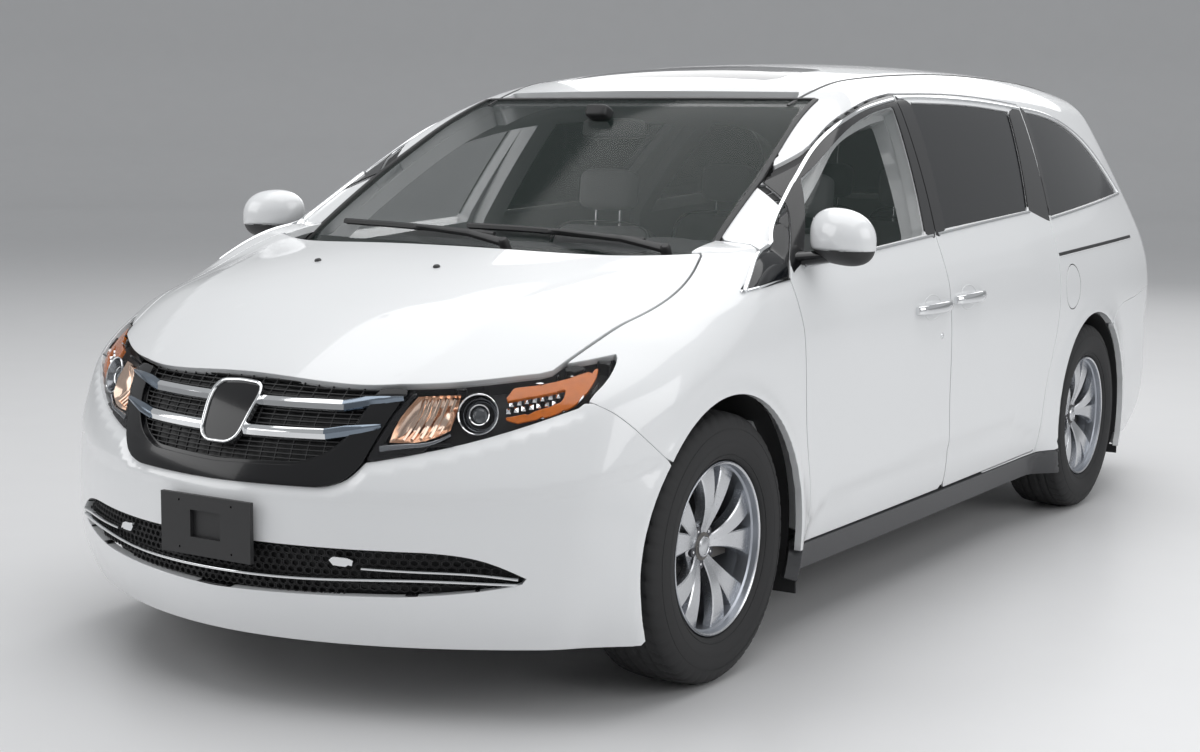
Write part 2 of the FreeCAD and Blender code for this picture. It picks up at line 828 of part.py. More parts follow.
rear_bumper_outline = side_outline(
    [(2.1873, 0.0576), (2.2687, 0.1727)],
    [(2.2687, 0.1727), (2.1873, 0.4145)],
    [(2.1873, 0.4145), (2.2907, 0.4502), (2.4585, 0.464), (2.6515, 0.4847), (3.0586, 0.5124)],
    [(3.0586, 0.5124), (3.0586, 0.0576)],
    [(3.0586, 0.0576), (2.1873, 0.0576)],
)
cladding_outline = side_outline(
    [(1.1507, 0.1151), (1.1507, 0.1664)],
    [(1.1507, 0.1664), (1.8573, 0.1664)],
    [(1.8573, 0.1664), (1.852, 0.1186)],
    [(1.852, 0.1186), (1.1507, 0.1151)],
)


def arch(axle_y, radius):
    """Cylinder across the left half round an axle."""
    return Part.makeCylinder(radius, half_width + overrun, Vector(0, axle_y, tyre_radius), Vector(1, 0, 0))


def everything(x0, x1, y0, y1, z0, z1):
    """Block between shares of width, station and height."""
    return block(breadth(x0), breadth(x1), station(y0), station(y1), height(z0), height(z1))


seam = seam_gap / 2
swing = swing_gap / 2
front_arch = arch(front_axle_y, arch_radius)
rear_arch = arch(rear_axle_y, arch_radius)

# Cutters for what closes against the body


def rebate(patch, outline_prism, depth):
    """What is removed for a panel of a given depth that closes over a seat."""
    return patch.slab(-overrun, depth).common(outline_prism)


hood_prism = hood_outline.from_above()
hood = hood_patch.slab(0, size("hood_thickness")).common(hood_outline.grown(-swing).from_above())
hood_cutter = hood_outline.grown(swing).from_above()
lamp_prism = lamp_outline.grown(seam).from_front()
corner_cutter = corner_window_outline.from_side()

# Front doors and sliding doors


def door(outline, window, gap):
    """Outer flange, inner body set in from it, and the window opening."""
    flange = side_patch.slab(0, size("door_flange")).common(outline.grown(-gap).from_side())
    inner = side_patch.slab(0, wall_depth(0)).common(outline.grown(-gap - size("door_rebate")).from_side())
    return fused(flange, inner).cut(window.from_side())


def pane(window, depth, thickness):
    """Glass inside a window opening of the side."""
    return side_patch.slab(depth, depth + thickness).common(window.grown(-glass_gap).from_side())


glass_depth = size("glass_depth")
glass_thickness = size("glass_thickness")
front_door = door(front_door_outline, front_window_outline, swing)
front_door = front_door.cut(windshield_outline.grown(swing_gap).from_front())
front_door = front_door.cut(everything(0, 0.7972, 1.16, 1.255, 0.6621, 0.7743))
front_glass = pane(front_window_outline, glass_depth, glass_thickness)
sliding_door = door(sliding_door_outline, slider_window_outline, seam * 5)
slider_glass = pane(slider_window_outline, glass_depth, glass_thickness)
quarter_glass = pane(quarter_window_outline, glass_depth, glass_thickness)
corner_glass = largest(pane(corner_window_outline, glass_depth, glass_thickness).cut(
    windshield_outline.grown(seam_gap).from_front()))

# Fuel flap in the left quarter

flap_centre = (station(1.9053), height(0.5193))
flap_radius = size("fuel_flap_radius")
flap_bore = size("fuel_flap_radius") + swing


def flap_cylinder(radius):
    return Part.makeCylinder(radius, half_width + overrun, Vector(0, flap_centre[0], flap_centre[1]), Vector(1, 0, 0))


fuel_flap = side_patch.slab(0, size("fuel_flap_thickness")).common(flap_cylinder(flap_radius))
fuel_recess = fused(
    side_patch.slab(-overrun, size("fuel_flap_thickness") + seam_gap).common(flap_cylinder(flap_bore)),
    side_patch.slab(-overrun, size("fuel_recess_depth")).common(flap_cylinder(flap_radius * 0.82)),
)

# Side of the body: pillars, roof rail, sill and quarter panel round the door openings

rear_join_share = 2.6922
jamb = size("jamb_thickness")
side_wall = side_patch.slab(0, wall_depth(jamb)).common(
    everything(0.5368, 1.2, 1.11, rear_join_share, 0.167, 1.1)
)
tail_wall_depth = size("tailgate_thickness") + jamb
tail_wall = tail_patch.slab(0, tail_wall_depth).common(
    everything(0.6064, 1.2, rear_join_share, 3.1, 0.3224, 0.928)
)
body_side = side_wall.fuse(tail_wall)
door_opening = front_door_outline.grown(-size("jamb_width")).from_side()
slider_opening = sliding_door_outline.grown(-size("jamb_width")).from_side()
front_relief = everything(0, 1.2, 1.1, 1.4167, 0.1612, 1.1)
cutters = [
    door_opening,
    slider_opening,
    rebate(side_patch, front_door_outline.grown(swing).from_side(), wall_depth(seam_gap)),
    rebate(side_patch, front_door_outline.grown(swing).from_side().common(front_relief), wall_depth(2 * swing)),
    rebate(side_patch, sliding_door_outline.grown(seam * 5).from_side(), wall_depth(seam_gap)),
    rebate(fender_patch, fender_outline.grown(seam).from_side(), size("fender_thickness") + seam_gap),
    rebate(roof_patch, roof_outline.grown(seam).from_above(), size("roof_thickness") + seam_gap),
    rebate(tail_patch, tailgate_outline.grown(swing).from_rear(), size("tailgate_thickness") + seam_gap),
    tailgate_outline.grown(-size("jamb_width")).from_rear(),
    rebate(tail_patch, tail_lamp_outline.grown(seam).from_rear().common(lamp_side_outline.grown(seam).from_side()),
           size("lamp_depth") + seam_gap),
    tail_patch.slab(-overrun, 2 * tail_wall_depth).common(rear_bumper_outline.grown(seam).from_side()),
    windshield_outline.from_front(),
    quarter_window_outline.from_side(),
    corner_cutter,
    arch(front_axle_y, arch_radius + size("liner_gap") + size("liner_thickness") + seam_gap),
    rear_arch,
]
for cutter in cutters:
    body_side = body_side.cut(cutter)
body_side = largest(body_side)
body_side_right = mirrored(body_side)
body_side_left = body_side.cut(fuel_recess)

# Fenders, bumpers and what they carry

bumper_prism = bumper_side_outline.across()
fender = fender_patch.slab(0, size("fender_thickness")).common(fender_outline.grown(-seam).from_side())
fender = fender.cut(hood_cutter).cut(lamp_prism).cut(front_arch).cut(corner_cutter)
fender = fender.cut(windshield_outline.from_front())
fender = fender.common(everything(0.2982, 1.2, 0.3514, 1.1733, 0.167, 0.9))

front_bumper = front_patch.slab(0, size("bumper_thickness")).common(bumper_side_outline.grown(-seam).across())
front_bumper = front_bumper.common(everything(-1.2, 1.2, -0.0811, 0.6973, 0.1094, 0.5181))
for cutter in (
    hood_cutter, lamp_prism, mirrored(lamp_prism), front_arch, mirrored(front_arch),
    grille_outline.from_front(), intake_outline.from_front(),
):
    front_bumper = front_bumper.cut(cutter)

rear_bumper = tail_patch.slab(0, size("bumper_thickness")).common(rear_bumper_outline.grown(-seam).across())
for cutter in (rear_arch, mirrored(rear_arch), tailgate_outline.grown(swing).from_rear()):
    rear_bumper = rear_bumper.cut(cutter)

lamp_depth = size("lamp_depth")
headlamp = front_patch.slab(0, lamp_depth).common(lamp_outline.grown(-seam).from_front()).cut(hood_cutter)
headlamp = largest(headlamp.cut(arch(front_axle_y, arch_radius + size("liner_gap"))))
tail_lamp = tail_patch.slab(0, lamp_depth).common(tail_lamp_outline.grown(-seam).from_rear())
tail_lamp = tail_lamp.common(lamp_side_outline.grown(-seam).from_side())

grille_depth = size("grille_depth")
grille_back = front_patch.slab(grille_depth, grille_depth + size("liner_thickness"))
grille_rim = front_patch.slab(0, grille_depth + size("liner_thickness"))
grille_inner = grille_outline.grown(-size("bumper_thickness"))
upper_grille = grille_rim.common(grille_outline.grown(-seam).from_front()).cut(hood_cutter)
upper_grille = upper_grille.cut(front_patch.slab(-overrun, grille_depth).common(grille_inner.from_front()))
upper_grille = upper_grille.cut(lamp_prism).cut(mirrored(lamp_prism))
lower_grille = grille_rim.common(intake_outline.grown(-seam).from_front())
lower_grille = lower_grille.cut(front_patch.slab(-overrun, grille_depth).common(
    intake_outline.grown(-size("bumper_thickness") / 2).from_front()))

upper_bar_shares = [(0, 0.4531), (0.3201, 0.4554), (0.4592, 0.4652)]
lower_bar_shares = [(0, 0.4122), (0.2982, 0.4122), (0.4294, 0.4283)]


def grille_bar(shares):
    """A bright bar across the grille that follows the nose."""
    rise = size("grille_bar_height") / body_height
    low = [(a, b - rise / 2) for a, b in shares]
    high = [(a, b + rise / 2) for a, b in shares]
    outline = end_outline(*both_halves(low[:2], low[1:], [low[-1], high[-1]], high[:0:-1], high[1::-1]))
    bar = front_patch.slab(0, grille_depth - glass_gap).common(outline.from_front())
    return bar.common(grille_inner.grown(-seam).from_front()).cut(hood_cutter)


grille_bars = Part.makeCompound([grille_bar(upper_bar_shares), grille_bar(lower_bar_shares)])

# Windshield, cowl, roof and tailgate

windshield = glass_patch.slab(glass_gap, size("windshield_thickness")).common(
    windshield_outline.grown(-glass_gap).from_front())
cowl_plan = plan_outline(*both_halves(
    [(0, 0.9946), (0.2575, 1.0027), (0.5169, 1.028), (0.7654, 1.0753)],
    [(0.7654, 1.0753), (0.7594, 1.11)],
    [(0.7594, 1.11), (0.5169, 1.0873), (0.2584, 1.0713), (0, 1.0667)],
))
cowl = cowl_plan.grown(-seam).from_above().common(
    everything(-1, 1, 0.7838, 1.1667, 0.6172, 1)
).common(everything(-1, 1, 0.7838, 1.1667, 0, 0.64)).cut(hood_cutter)
fender_room = fender_patch.slab(-overrun, size("fender_thickness") + seam_gap).common(fender_outline.from_side())
cowl = cowl.cut(fender_room).cut(mirrored(fender_room))
roof = roof_patch.slab(0, size("roof_thickness")).common(roof_outline.grown(-seam).from_above())
roof = roof.common(everything(-1, 1, 1.2667, 3.1, 0.9088, 1.1))
roof = roof.cut(sunroof_outline.from_above())
roof = roof.common(everything(-1.2, 1.2, 0, 2.7248, 0, 1.1))
roof = roof.cut(rebate(tail_patch, tailgate_outline.grown(swing).from_rear(), size("tailgate_thickness")))
sunroof = roof_patch.slab(0, glass_thickness).common(sunroof_outline.grown(-glass_gap).from_above())
tailgate = fused(
    tail_patch.slab(0, size("door_flange")).common(tailgate_outline.grown(-swing).from_rear()),
    tail_patch.slab(0, size("tailgate_thickness")).common(
        tailgate_outline.grown(-swing - size("tailgate_rebate")).from_rear()),
).cut(rear_window_outline.from_rear())
tailgate = tailgate.common(everything(-1.2, 1.2, 2.6287, 3.1, 0, 1.1))
shoulder_room = everything(0.5189, 0.6362, 2.57, 2.6564, 0.8463, 0.9154)
tailgate = tailgate.cut(shoulder_room).cut(mirrored(shoulder_room))
rear_glass = tail_patch.slab(glass_gap, glass_thickness).common(rear_window_outline.grown(-glass_gap).from_rear())

keep("body_side_left", body_side_left)
keep("body_side_right", body_side_right)
keep("front_door_left", front_door)
keep("front_door_right", mirrored(front_door))
keep("front_glass_left", front_glass)
keep("front_glass_right", mirrored(front_glass))
keep("sliding_door_left", sliding_door)
keep("sliding_door_right", mirrored(sliding_door))
panes = [slider_glass, quarter_glass, corner_glass]
keep("side_windows", Part.makeCompound(panes + [mirrored(item) for item in panes]))
keep("fuel_flap", fuel_flap)
keep("fender_left", fender)
keep("fender_right", mirrored(fender))
keep("front_bumper", front_bumper)
keep("rear_bumper", rear_bumper)
keep("hood", hood)
keep("headlamps", Part.makeCompound([headlamp, mirrored(headlamp)]))
keep("tail_lamps", Part.makeCompound([tail_lamp, mirrored(tail_lamp)]))
keep("upper_grille", upper_grille)
keep("lower_grille", lower_grille)
keep("grille_bars", grille_bars)
keep("windshield", windshield)
keep("cowl", cowl)
keep("roof_panel", roof)
keep("sunroof_glass", sunroof)
keep("tailgate", tailgate)
keep("tailgate_glass", rear_glass)



# Wheels, made round the origin with the axle along X and the outer face at +X


def turned(profile):
    """Solid of revolution about the X axis from (x, radius) corners."""
    points = [Vector(x, 0, r) for x, r in profile]
    face = Part.Face(Part.makePolygon(points + points[:1]))
    return face.revolve(Vector(0, 0, 0), Vector(1, 0, 0), 360)


def ring(x0, x1, inner, outer):
    """Washer or tube along X."""
    tube = Part.makeCylinder(outer, x1 - x0, Vector(x0, 0, 0), Vector(1, 0, 0))
    if inner:
        tube = tube.cut(Part.makeCylinder(inner, x1 - x0, Vector(x0, 0, 0), Vector(1, 0, 0)))
    return tube


def tyre():
    half = size("tyre_width") / 2
    tread = size("tread_half_width")
    drop = size("tyre_shoulder_drop")
    bead = size("tyre_bead_radius")
    lip = size("rim_lip_radius")
    rim = size("rim_half_width") - size("rim_flange")
    middle = (tyre_radius + lip) / 2
    return turned([
        (-rim, bead), (-rim, lip), (-half, middle), (-half + drop, tyre_radius - drop * 2),
        (-tread, tyre_radius), (tread, tyre_radius), (half - drop, tyre_radius - drop * 2),
        (half, middle), (rim, lip), (rim, bead),
    ])


def rim_window(inner, outer, inner_half, outer_half, turn, depth):
    """Opening between two spokes; the halves and the turn are angles in degrees."""
    corners = [(inner, -inner_half), (outer, -outer_half), (outer * 1.02, 0), (outer, outer_half), (inner, inner_half)]
    points = []
    for radius, angle in corners:
        heading = math.radians(angle + turn)
        points.append(Vector(0, radius * math.sin(heading), radius * math.cos(heading)))
    return Part.Face(Part.makePolygon(points + points[:1])).extrude(Vector(depth, 0, 0))


def rim():
    """Barrel, flanges, spoked face, hub and brake disc of one wheel."""
    half = size("rim_half_width")
    flange = half - size("rim_flange") - glass_gap
    lip, seat, inner = size("rim_lip_radius"), size("rim_seat_radius"), size("rim_inner_radius")
    barrel = turned([
        (-half, inner), (-half, lip), (-flange - 2 * glass_gap, lip), (-flange - 2 * glass_gap, seat),
        (flange + 2 * glass_gap, seat), (flange + 2 * glass_gap, lip), (half, lip), (half, inner),
    ])
    back = size("rim_face_offset")
    front = back + size("rim_face_thickness")
    face = ring(back, front, 0, (seat + inner) / 2)
    outer = size("rim_window_radius")
    pairs = int(size("rim_spoke_pairs"))
    for k in range(pairs):
        centre = 360 * k / pairs
        face = face.cut(rim_window(1.45 * size("rim_hub_radius"), outer, 2.5, 9.5, centre, 2 * front))
        face = face.cut(rim_window(1.12 * size("rim_hub_radius"), outer, 19, 15.5, centre + 180 / pairs, 2 * front))
    for k in range(int(size("lug_count"))):
        hole = Part.makeCylinder(
            size("lug_hole_radius"), size("rim_face_thickness") / 2,
            Vector(front - size("rim_face_thickness") / 2, 0, size("lug_circle_radius")), Vector(1, 0, 0),
        )
        hole.rotate(Vector(0, 0, 0), Vector(1, 0, 0), 360 * k / size("lug_count"))
        face = face.cut(hole)
    disc = -size("disc_offset")
    thickness = size("disc_thickness")
    hat = size("disc_hat_radius")
    wall = size("rim_flange")
    rotor = ring(disc, disc + thickness, hat - wall, size("disc_radius"))
    cup = ring(disc, back, hat - wall, hat)
    return fused(barrel, face, rotor, cup)


def placed(shape, x, y, side):
    """A wheel piece at its axle; side is 1 on the left and -1 on the right."""
    result = shape.copy()
    if side < 0:
        result = mirrored(result)
    result.translate(Vector(x * side, y, tyre_radius))
    return result


wheel_x = size("track") / 2
tyre_shape, rim_shape = tyre(), rim()
axles = {"front": front_axle_y, "rear": rear_axle_y}
for end, axle_y in axles.items():
    for side_name, side in (("left", 1), ("right", -1)):
        keep(f"tyre_{end}_{side_name}", placed(tyre_shape, wheel_x, axle_y, side))
        keep(f"rim_{end}_{side_name}", placed(rim_shape, wheel_x, axle_y, side))

# Knuckles, axles and springs

kingpin_x = wheel_x - size("kingpin_inset")
hub_gap = size("hub_gap")
knuckle_half = size("knuckle_width") / 2
knuckle_depth = size("knuckle_depth")
arm_thickness = size("arm_thickness")
pad_radius = size("arm_width") / 2
pad_height = size("strut_radius") * 2 / 3
subframe_base = size("subframe_base")
arm_top = subframe_base + arm_thickness
clevis_base = tyre_radius + size("knuckle_height") / 2 + pad_height


def spindle(start_x, y):
    """Stub axle that ends just short of the wheel's hub."""
    end_x = wheel_x + size("rim_face_offset") - hub_gap
    return rod(Vector(start_x, y, tyre_radius), Vector(end_x, y, tyre_radius), size("hub_radius"))


def caliper(y, inner_x):
    """Brake caliper behind the axle, round the disc, with the arm that carries it."""
    disc_x = wheel_x - size("disc_offset")
    clear = size("disc_thickness") / 5
    thick = size("disc_thickness") / 2
    low, high = size("disc_radius") * 0.62, size("disc_radius") * 1.13
    half = size("disc_radius") * 0.34
    shell = block(
        disc_x - clear - thick, disc_x + size("disc_thickness") + clear + thick,
        y + low, y + high, tyre_radius - half, tyre_radius + half,
    )
    slot = block(
        disc_x - clear, disc_x + size("disc_thickness") + clear,
        y, y + size("disc_radius") + clear, tyre_radius - 2 * half, tyre_radius + 2 * half,
    )
    arm = block(inner_x, disc_x - clear, y, y + high, tyre_radius - half / 2, tyre_radius + half / 2)
    return fused(shell.cut(slot), arm)


def knuckle():
    y = front_axle_y
    base = tyre_radius - size("knuckle_height") / 2
    upright = block(
        kingpin_x - knuckle_half, kingpin_x + knuckle_half, y - knuckle_depth / 2, y + knuckle_depth / 2,
        base, clevis_base - pad_height,
    )
    lower = rod(Vector(kingpin_x, y, arm_top + hub_gap), Vector(kingpin_x, y, base + pad_height), pad_radius)
    upper = rod(Vector(kingpin_x, y, clevis_base - 2 * pad_height),
                Vector(kingpin_x, y, clevis_base - hub_gap), pad_radius)
    return fused(upright, lower, upper, spindle(kingpin_x, y), caliper(y, kingpin_x))


def front_corner():
    """Lower arm, strut and spring of the left side."""
    y = front_axle_y
    arm = block(size("subframe_half_width") / 2, kingpin_x, y - pad_radius, y + pad_radius, subframe_base, arm_top)
    pad = rod(Vector(kingpin_x, y, subframe_base), Vector(kingpin_x, y, arm_top), pad_radius)
    strut_x = kingpin_x - 3.5 * size("strut_radius")
    clevis = block(
        strut_x - size("strut_radius"), kingpin_x + pad_radius / 2, y - size("strut_radius"), y + size("strut_radius"),
        clevis_base, clevis_base + pad_height,
    )
    top = size("apron_height") - size("wall_thickness") - hub_gap
    tube = rod(Vector(strut_x, y, clevis_base), Vector(strut_x, y, top), size("strut_radius"))
    coil = rod(Vector(strut_x, y, 2 * tyre_radius + overrun / 2), Vector(strut_x, y, top), size("spring_radius"))
    return fused(arm, pad, clevis, tube, coil), strut_x


knuckle_left = knuckle()
keep("knuckle_left", knuckle_left)
keep("knuckle_right", mirrored(knuckle_left))
corner, strut_x = front_corner()
subframe = block(
    -size("subframe_half_width"), size("subframe_half_width"),
    front_axle_y - size("subframe_height") * 1.5, front_axle_y + size("subframe_height") * 2,
    subframe_base, subframe_base + size("subframe_height"),
)
rear_arm_half = size("arm_width") / 2
floor_height = size("floor_height")
keep("front_suspension", fused(subframe, corner, mirrored(corner)))

rear_floor = size("rear_floor_height")
carrier_top = rear_floor - size("wall_thickness")


def rear_corner():
    """Trailing arm, spring, hub carrier and brake of the left side."""
    y = rear_axle_y
    arm_x = size("well_half_width") - size("arm_width") * 1.5
    arm = block(
        arm_x, arm_x + size("arm_width"), y - size("wheelbase") * 0.15, y + pad_radius,
        floor_height - 2 * arm_thickness, floor_height - hub_gap,
    )
    post = block(
        arm_x, arm_x + size("arm_width"), y - pad_radius, y + pad_radius,
        floor_height - 2 * arm_thickness, carrier_top,
    )
    carrier = block(arm_x, kingpin_x, y - pad_radius, y + pad_radius,
                    tyre_radius - size("knuckle_depth"), carrier_top)
    coil = rod(
        Vector(arm_x - size("spring_radius") / 2, y, tyre_radius - size("beam_radius")),
        Vector(arm_x - size("spring_radius") / 2, y, rear_floor - hub_gap), size("spring_radius"),
    )
    return fused(arm, post, carrier, coil, spindle(kingpin_x - pad_radius, y), caliper(y, kingpin_x - pad_radius))


rear_left = rear_corner()
beam_z = floor_height + size("beam_radius") + size("floor_thickness") / 2
beam = rod(
    Vector(-size("well_half_width") + pad_radius, rear_axle_y, beam_z),
    Vector(size("well_half_width") - pad_radius, rear_axle_y, beam_z), size("beam_radius"),
)
keep("rear_axle", fused(beam, rear_left, mirrored(rear_left)))

# Floor, engine bay and wheelhouses, welded into one pan


def both(shape):
    return [shape, mirrored(shape)]


wall = size("wall_thickness")
floor_x = size("floor_half_width")
floor_top = floor_height + size("floor_thickness")
rear_floor_top = rear_floor + size("floor_thickness")
well_x = size("well_half_width")
apron_x = size("apron_half_width")
apron_top = size("apron_height")
toe_y = station(1.1667)
step_y = station(1.8467)
floor_end_y = station(2.8616)
support_y = station(0.3514)
rail_top = subframe_base + size("subframe_height") * 2
rocker_top = height(0.166)
sill_top = height(0.3477)
support_x = breadth(0.3926)
cowl_shelf = height(0.6167)
tie_top = height(0.4675)
cradle_top = subframe_base + size("subframe_height") + hub_gap
floor_parts = [
    block(-floor_x, floor_x, toe_y - wall, step_y, floor_height, floor_top),
    block(-floor_x + wall, floor_x - wall, toe_y - wall, toe_y, floor_height, cowl_shelf),
    block(-floor_x + 3 * wall, floor_x - 3 * wall, station(1.04), toe_y, cowl_shelf - wall, cowl_shelf),
    *both(block(floor_x - wall, floor_x + size("rocker_width"), toe_y - 2 * wall, step_y + wall,
                rocker_top - size("rocker_height"), rocker_top)),
]
floor_pan = fused(*floor_parts)

rear_parts = [
    block(-well_x, well_x, step_y, floor_end_y, rear_floor, rear_floor_top),
    block(-floor_x + wall, floor_x - wall, step_y, step_y + wall, floor_height, rear_floor_top),
    block(-well_x, well_x, floor_end_y - wall, floor_end_y, rear_floor, sill_top),
    *both(block(well_x - wall, well_x, step_y, floor_end_y, rear_floor, size("well_height"))),
    *both(block(well_x - wall, breadth(0.827), station(1.8553), station(2.3534), size("well_height"),
                size("well_height") + wall)),
]
sill = tail_patch.slab(size("bumper_thickness") + seam_gap, 3 * size("tailgate_thickness"))
rear_parts.append(sill.common(everything(-0.6163, 0.6163, 2.7329, 3.1, 0.3224, 0.3477)))
rear_structure = fused(*rear_parts)
side_room = side_patch.slab(-overrun, wall_depth(jamb + seam_gap)).common(
    everything(0, 1.2, 1.8, 2.6515, 0.1667, 1))
floor_pan = floor_pan.cut(side_room).cut(mirrored(side_room))
rear_structure = rear_structure.cut(side_room).cut(mirrored(side_room))
rear_structure = largest(rear_structure.cut(tail_patch.slab(-overrun, size("bumper_thickness") + seam_gap)))

rail_end = toe_y - wall
apron_wall = block(apron_x, apron_x + wall, station(0.5135), rail_end, height(0.3569), apron_top)
front_parts = [
    block(-apron_x - wall, apron_x + wall, support_y, support_y + 4 * wall, floor_height, floor_height + 3 * wall),
    block(-support_x, support_x, support_y, support_y + 2 * wall, tie_top - 2 * wall, tie_top),
    *both(block(apron_x, apron_x + wall, station(0.3946), rail_end, rail_top, height(0.3627))),
    *both(apron_wall.cut(block(0, half_width, station(1.04), rail_end, cowl_shelf - wall, cowl_shelf))),
    *both(block(apron_x - 5 * wall, apron_x + wall, station(0.3946), rail_end, cradle_top, rail_top + wall)),
    *both(block(apron_x, kingpin_x - 2 * wall, front_axle_y - 9 * wall, front_axle_y + 9 * wall, apron_top - wall,
                apron_top)),
    *both(block(support_x - 2 * wall, support_x, support_y, support_y + 2 * wall, floor_height, tie_top)),
]
buffer_x = breadth(0.2982)
buffer = rod(Vector(buffer_x, support_y + wall, tie_top - wall), Vector(buffer_x, support_y + wall, height(0.5642)),
             size("buffer_radius"))
buffer = buffer.cut(hood_patch.slab(-2 * overrun, size("hood_thickness") + seam_gap))
front_parts.extend(both(sorted(buffer.Solids, key=lambda solid: solid.BoundBox.ZMin)[0]))
front_structure = largest(fused(*front_parts))
keep("floor_pan", floor_pan)
keep("rear_structure", rear_structure)
keep("front_structure", front_structure)

liner = size("liner_thickness")


def half_ring(axle_y, inner, outer, x0, x1, low):
    tube = ring(x0, x1, inner, outer)
    tube.translate(Vector(0, axle_y, tyre_radius))
    return tube.common(block(0, half_width, axle_y - 2 * outer, axle_y + 2 * outer, low, body_height))


liner_low = height(0.1439)
front_liner = half_ring(front_axle_y, arch_radius + size("liner_gap"), arch_radius + size("liner_gap") + liner,
                        kingpin_x - 2 * wall, breadth(0.9443), liner_low)
front_liner = front_liner.cut(fender_patch.slab(-overrun, size("fender_thickness") + seam_gap))
front_liner = front_liner.cut(front_patch.slab(-overrun, size("bumper_thickness") + seam_gap)).cut(lamp_prism)
rear_liner = half_ring(rear_axle_y, arch_radius - liner - seam_gap, arch_radius - seam_gap,
                       well_x + seam_gap, breadth(0.9662), liner_low)
keep("wheel_liners", Part.makeCompound(both(front_liner) + both(rear_liner)))


def mud_flap(axle_y, radius):
    """Flap that hangs behind a wheel from the end of its liner."""
    back = axle_y + math.sqrt(radius**2 - (tyre_radius - liner_low) ** 2)
    x1 = breadth(0.9791)
    flap = block(x1 - size("flap_width"), x1, back - size("flap_thickness"), back,
                 height(0.095), liner_low - hub_gap)
    return flap.cut(tail_patch.slab(-overrun, size("bumper_thickness") + seam_gap))


keep("mud_flaps", Part.makeCompound(
    both(mud_flap(front_axle_y, arch_radius + size("liner_gap") + liner))
    + both(mud_flap(rear_axle_y, arch_radius - liner))
))

cladding = side_patch.slab(0, size("cladding_thickness")).common(cladding_outline.grown(-seam).from_side())
cladding = cladding.common(block(floor_x + size("rocker_width") + hub_gap, half_width, station(0), station(3), 0,
                                 height(0.166)))
keep("sill_cladding", Part.makeCompound(both(cladding)))

# Engine, tank and exhaust

engine_base = subframe_base + size("subframe_height") + hub_gap
engine_y = front_axle_y - size("engine_width") + size("subframe_height") / 2
keep("engine_block", block(
    -size("engine_length") / 2, size("engine_length") / 2, engine_y, engine_y + size("engine_width"),
    engine_base, engine_base + size("engine_height"),
))
tank_y = station(1.5467)
tank_x = -floor_x + 2 * size("rocker_width")
keep("fuel_tank", block(
    tank_x, tank_x + size("tank_width"), tank_y, tank_y + size("tank_length"),
    floor_height - hub_gap - size("tank_height"), floor_height - hub_gap,
))
pipe_radius = size("exhaust_radius")
pipe_x = tank_x + size("tank_width") + 3 * pipe_radius
pipe_z = floor_height - hub_gap - pipe_radius
muffler_y = rear_axle_y + size("muffler_length")
muffler = block(
    pipe_x - size("muffler_width") / 2, pipe_x + size("muffler_width") / 2, muffler_y,
    muffler_y + size("muffler_length"), pipe_z - pipe_radius, pipe_z - pipe_radius + size("muffler_height"),
)
pipe = rod(Vector(pipe_x, front_axle_y + size("subframe_height") * 2 + seam_gap, pipe_z),
           Vector(pipe_x, muffler_y, pipe_z), pipe_radius)
tailpipe = rod(Vector(pipe_x, muffler_y, pipe_z), Vector(pipe_x, station(2.9039), pipe_z), pipe_radius)
hanger = rod(Vector(pipe_x, muffler_y + size("muffler_length") / 2, pipe_z),
             Vector(pipe_x, muffler_y + size("muffler_length") / 2, rear_floor - hub_gap), pipe_radius / 3)
keep("exhaust", fused(pipe, muffler, tailpipe, hanger))

# Cabin


def extruded(points, x0, x1, map_y=station, map_z=height):
    """Side profile of shares drawn across from one width to another."""
    corners = [Vector(x0, map_y(a), map_z(b)) for a, b in points]
    return Part.Face(Part.makePolygon(corners + corners[:1])).extrude(Vector(x1 - x0, 0, 0))


dash_shares = [
    (1.1668, 0.4375), (1.1668, 0.6183), (1.11, 0.6183), (1.11, 0.6287), (1.14, 0.6402), (1.2133, 0.6494), (1.2567, 0.6436),
    (1.2667, 0.6102), (1.2567, 0.5181), (1.2333, 0.4375),
]
dash = extruded(dash_shares, -size("dash_half_width"), size("dash_half_width"))
dash = dash.cut(glass_patch.slab(-2 * overrun, size("windshield_thickness") + 2 * seam_gap))
dash = dash.cut(side_patch.slab(-overrun, wall_depth(jamb + seam_gap)))
dash = dash.cut(mirrored(side_patch.slab(-overrun, wall_depth(jamb + seam_gap))))
console = extruded([(1.2133, 0.1579), (1.2133, 0.4375), (1.2567, 0.4375), (1.32, 0.3224), (1.32, 0.1579)],
                   -size("seat_width") / 4, size("seat_width") / 4)
dashboard = fused(dash, console)
keep("dashboard", dashboard)

wheel_centre = Vector(size("steering_offset"), station(1.3183), height(0.5458))
wheel_normal = Vector(0, 0.9, 0.43).normalize()
steering = Part.makeTorus(size("steering_wheel_radius"), size("steering_rim_radius"), wheel_centre, wheel_normal)
hub = rod(wheel_centre - wheel_normal * size("steering_hub_radius"),
          wheel_centre + wheel_normal * size("steering_rim_radius"), size("steering_hub_radius"))
steering_parts = [hub, rod(wheel_centre - wheel_normal * size("steering_wheel_radius") * 1.6, wheel_centre,
                           size("steering_hub_radius") / 2)]
across = Vector(1, 0, 0)
down = across.cross(wheel_normal)
if down.z > 0:
    down = down * -1
for direction in (across, across * -1, down):
    steering_parts.append(rod(wheel_centre, wheel_centre + direction * size("steering_wheel_radius"),
                              size("steering_rim_radius") * 0.8))
steering_wheel = fused(steering, *steering_parts).cut(dashboard)
steering_wheel = largest(steering_wheel)
keep("steering_wheel", steering_wheel)


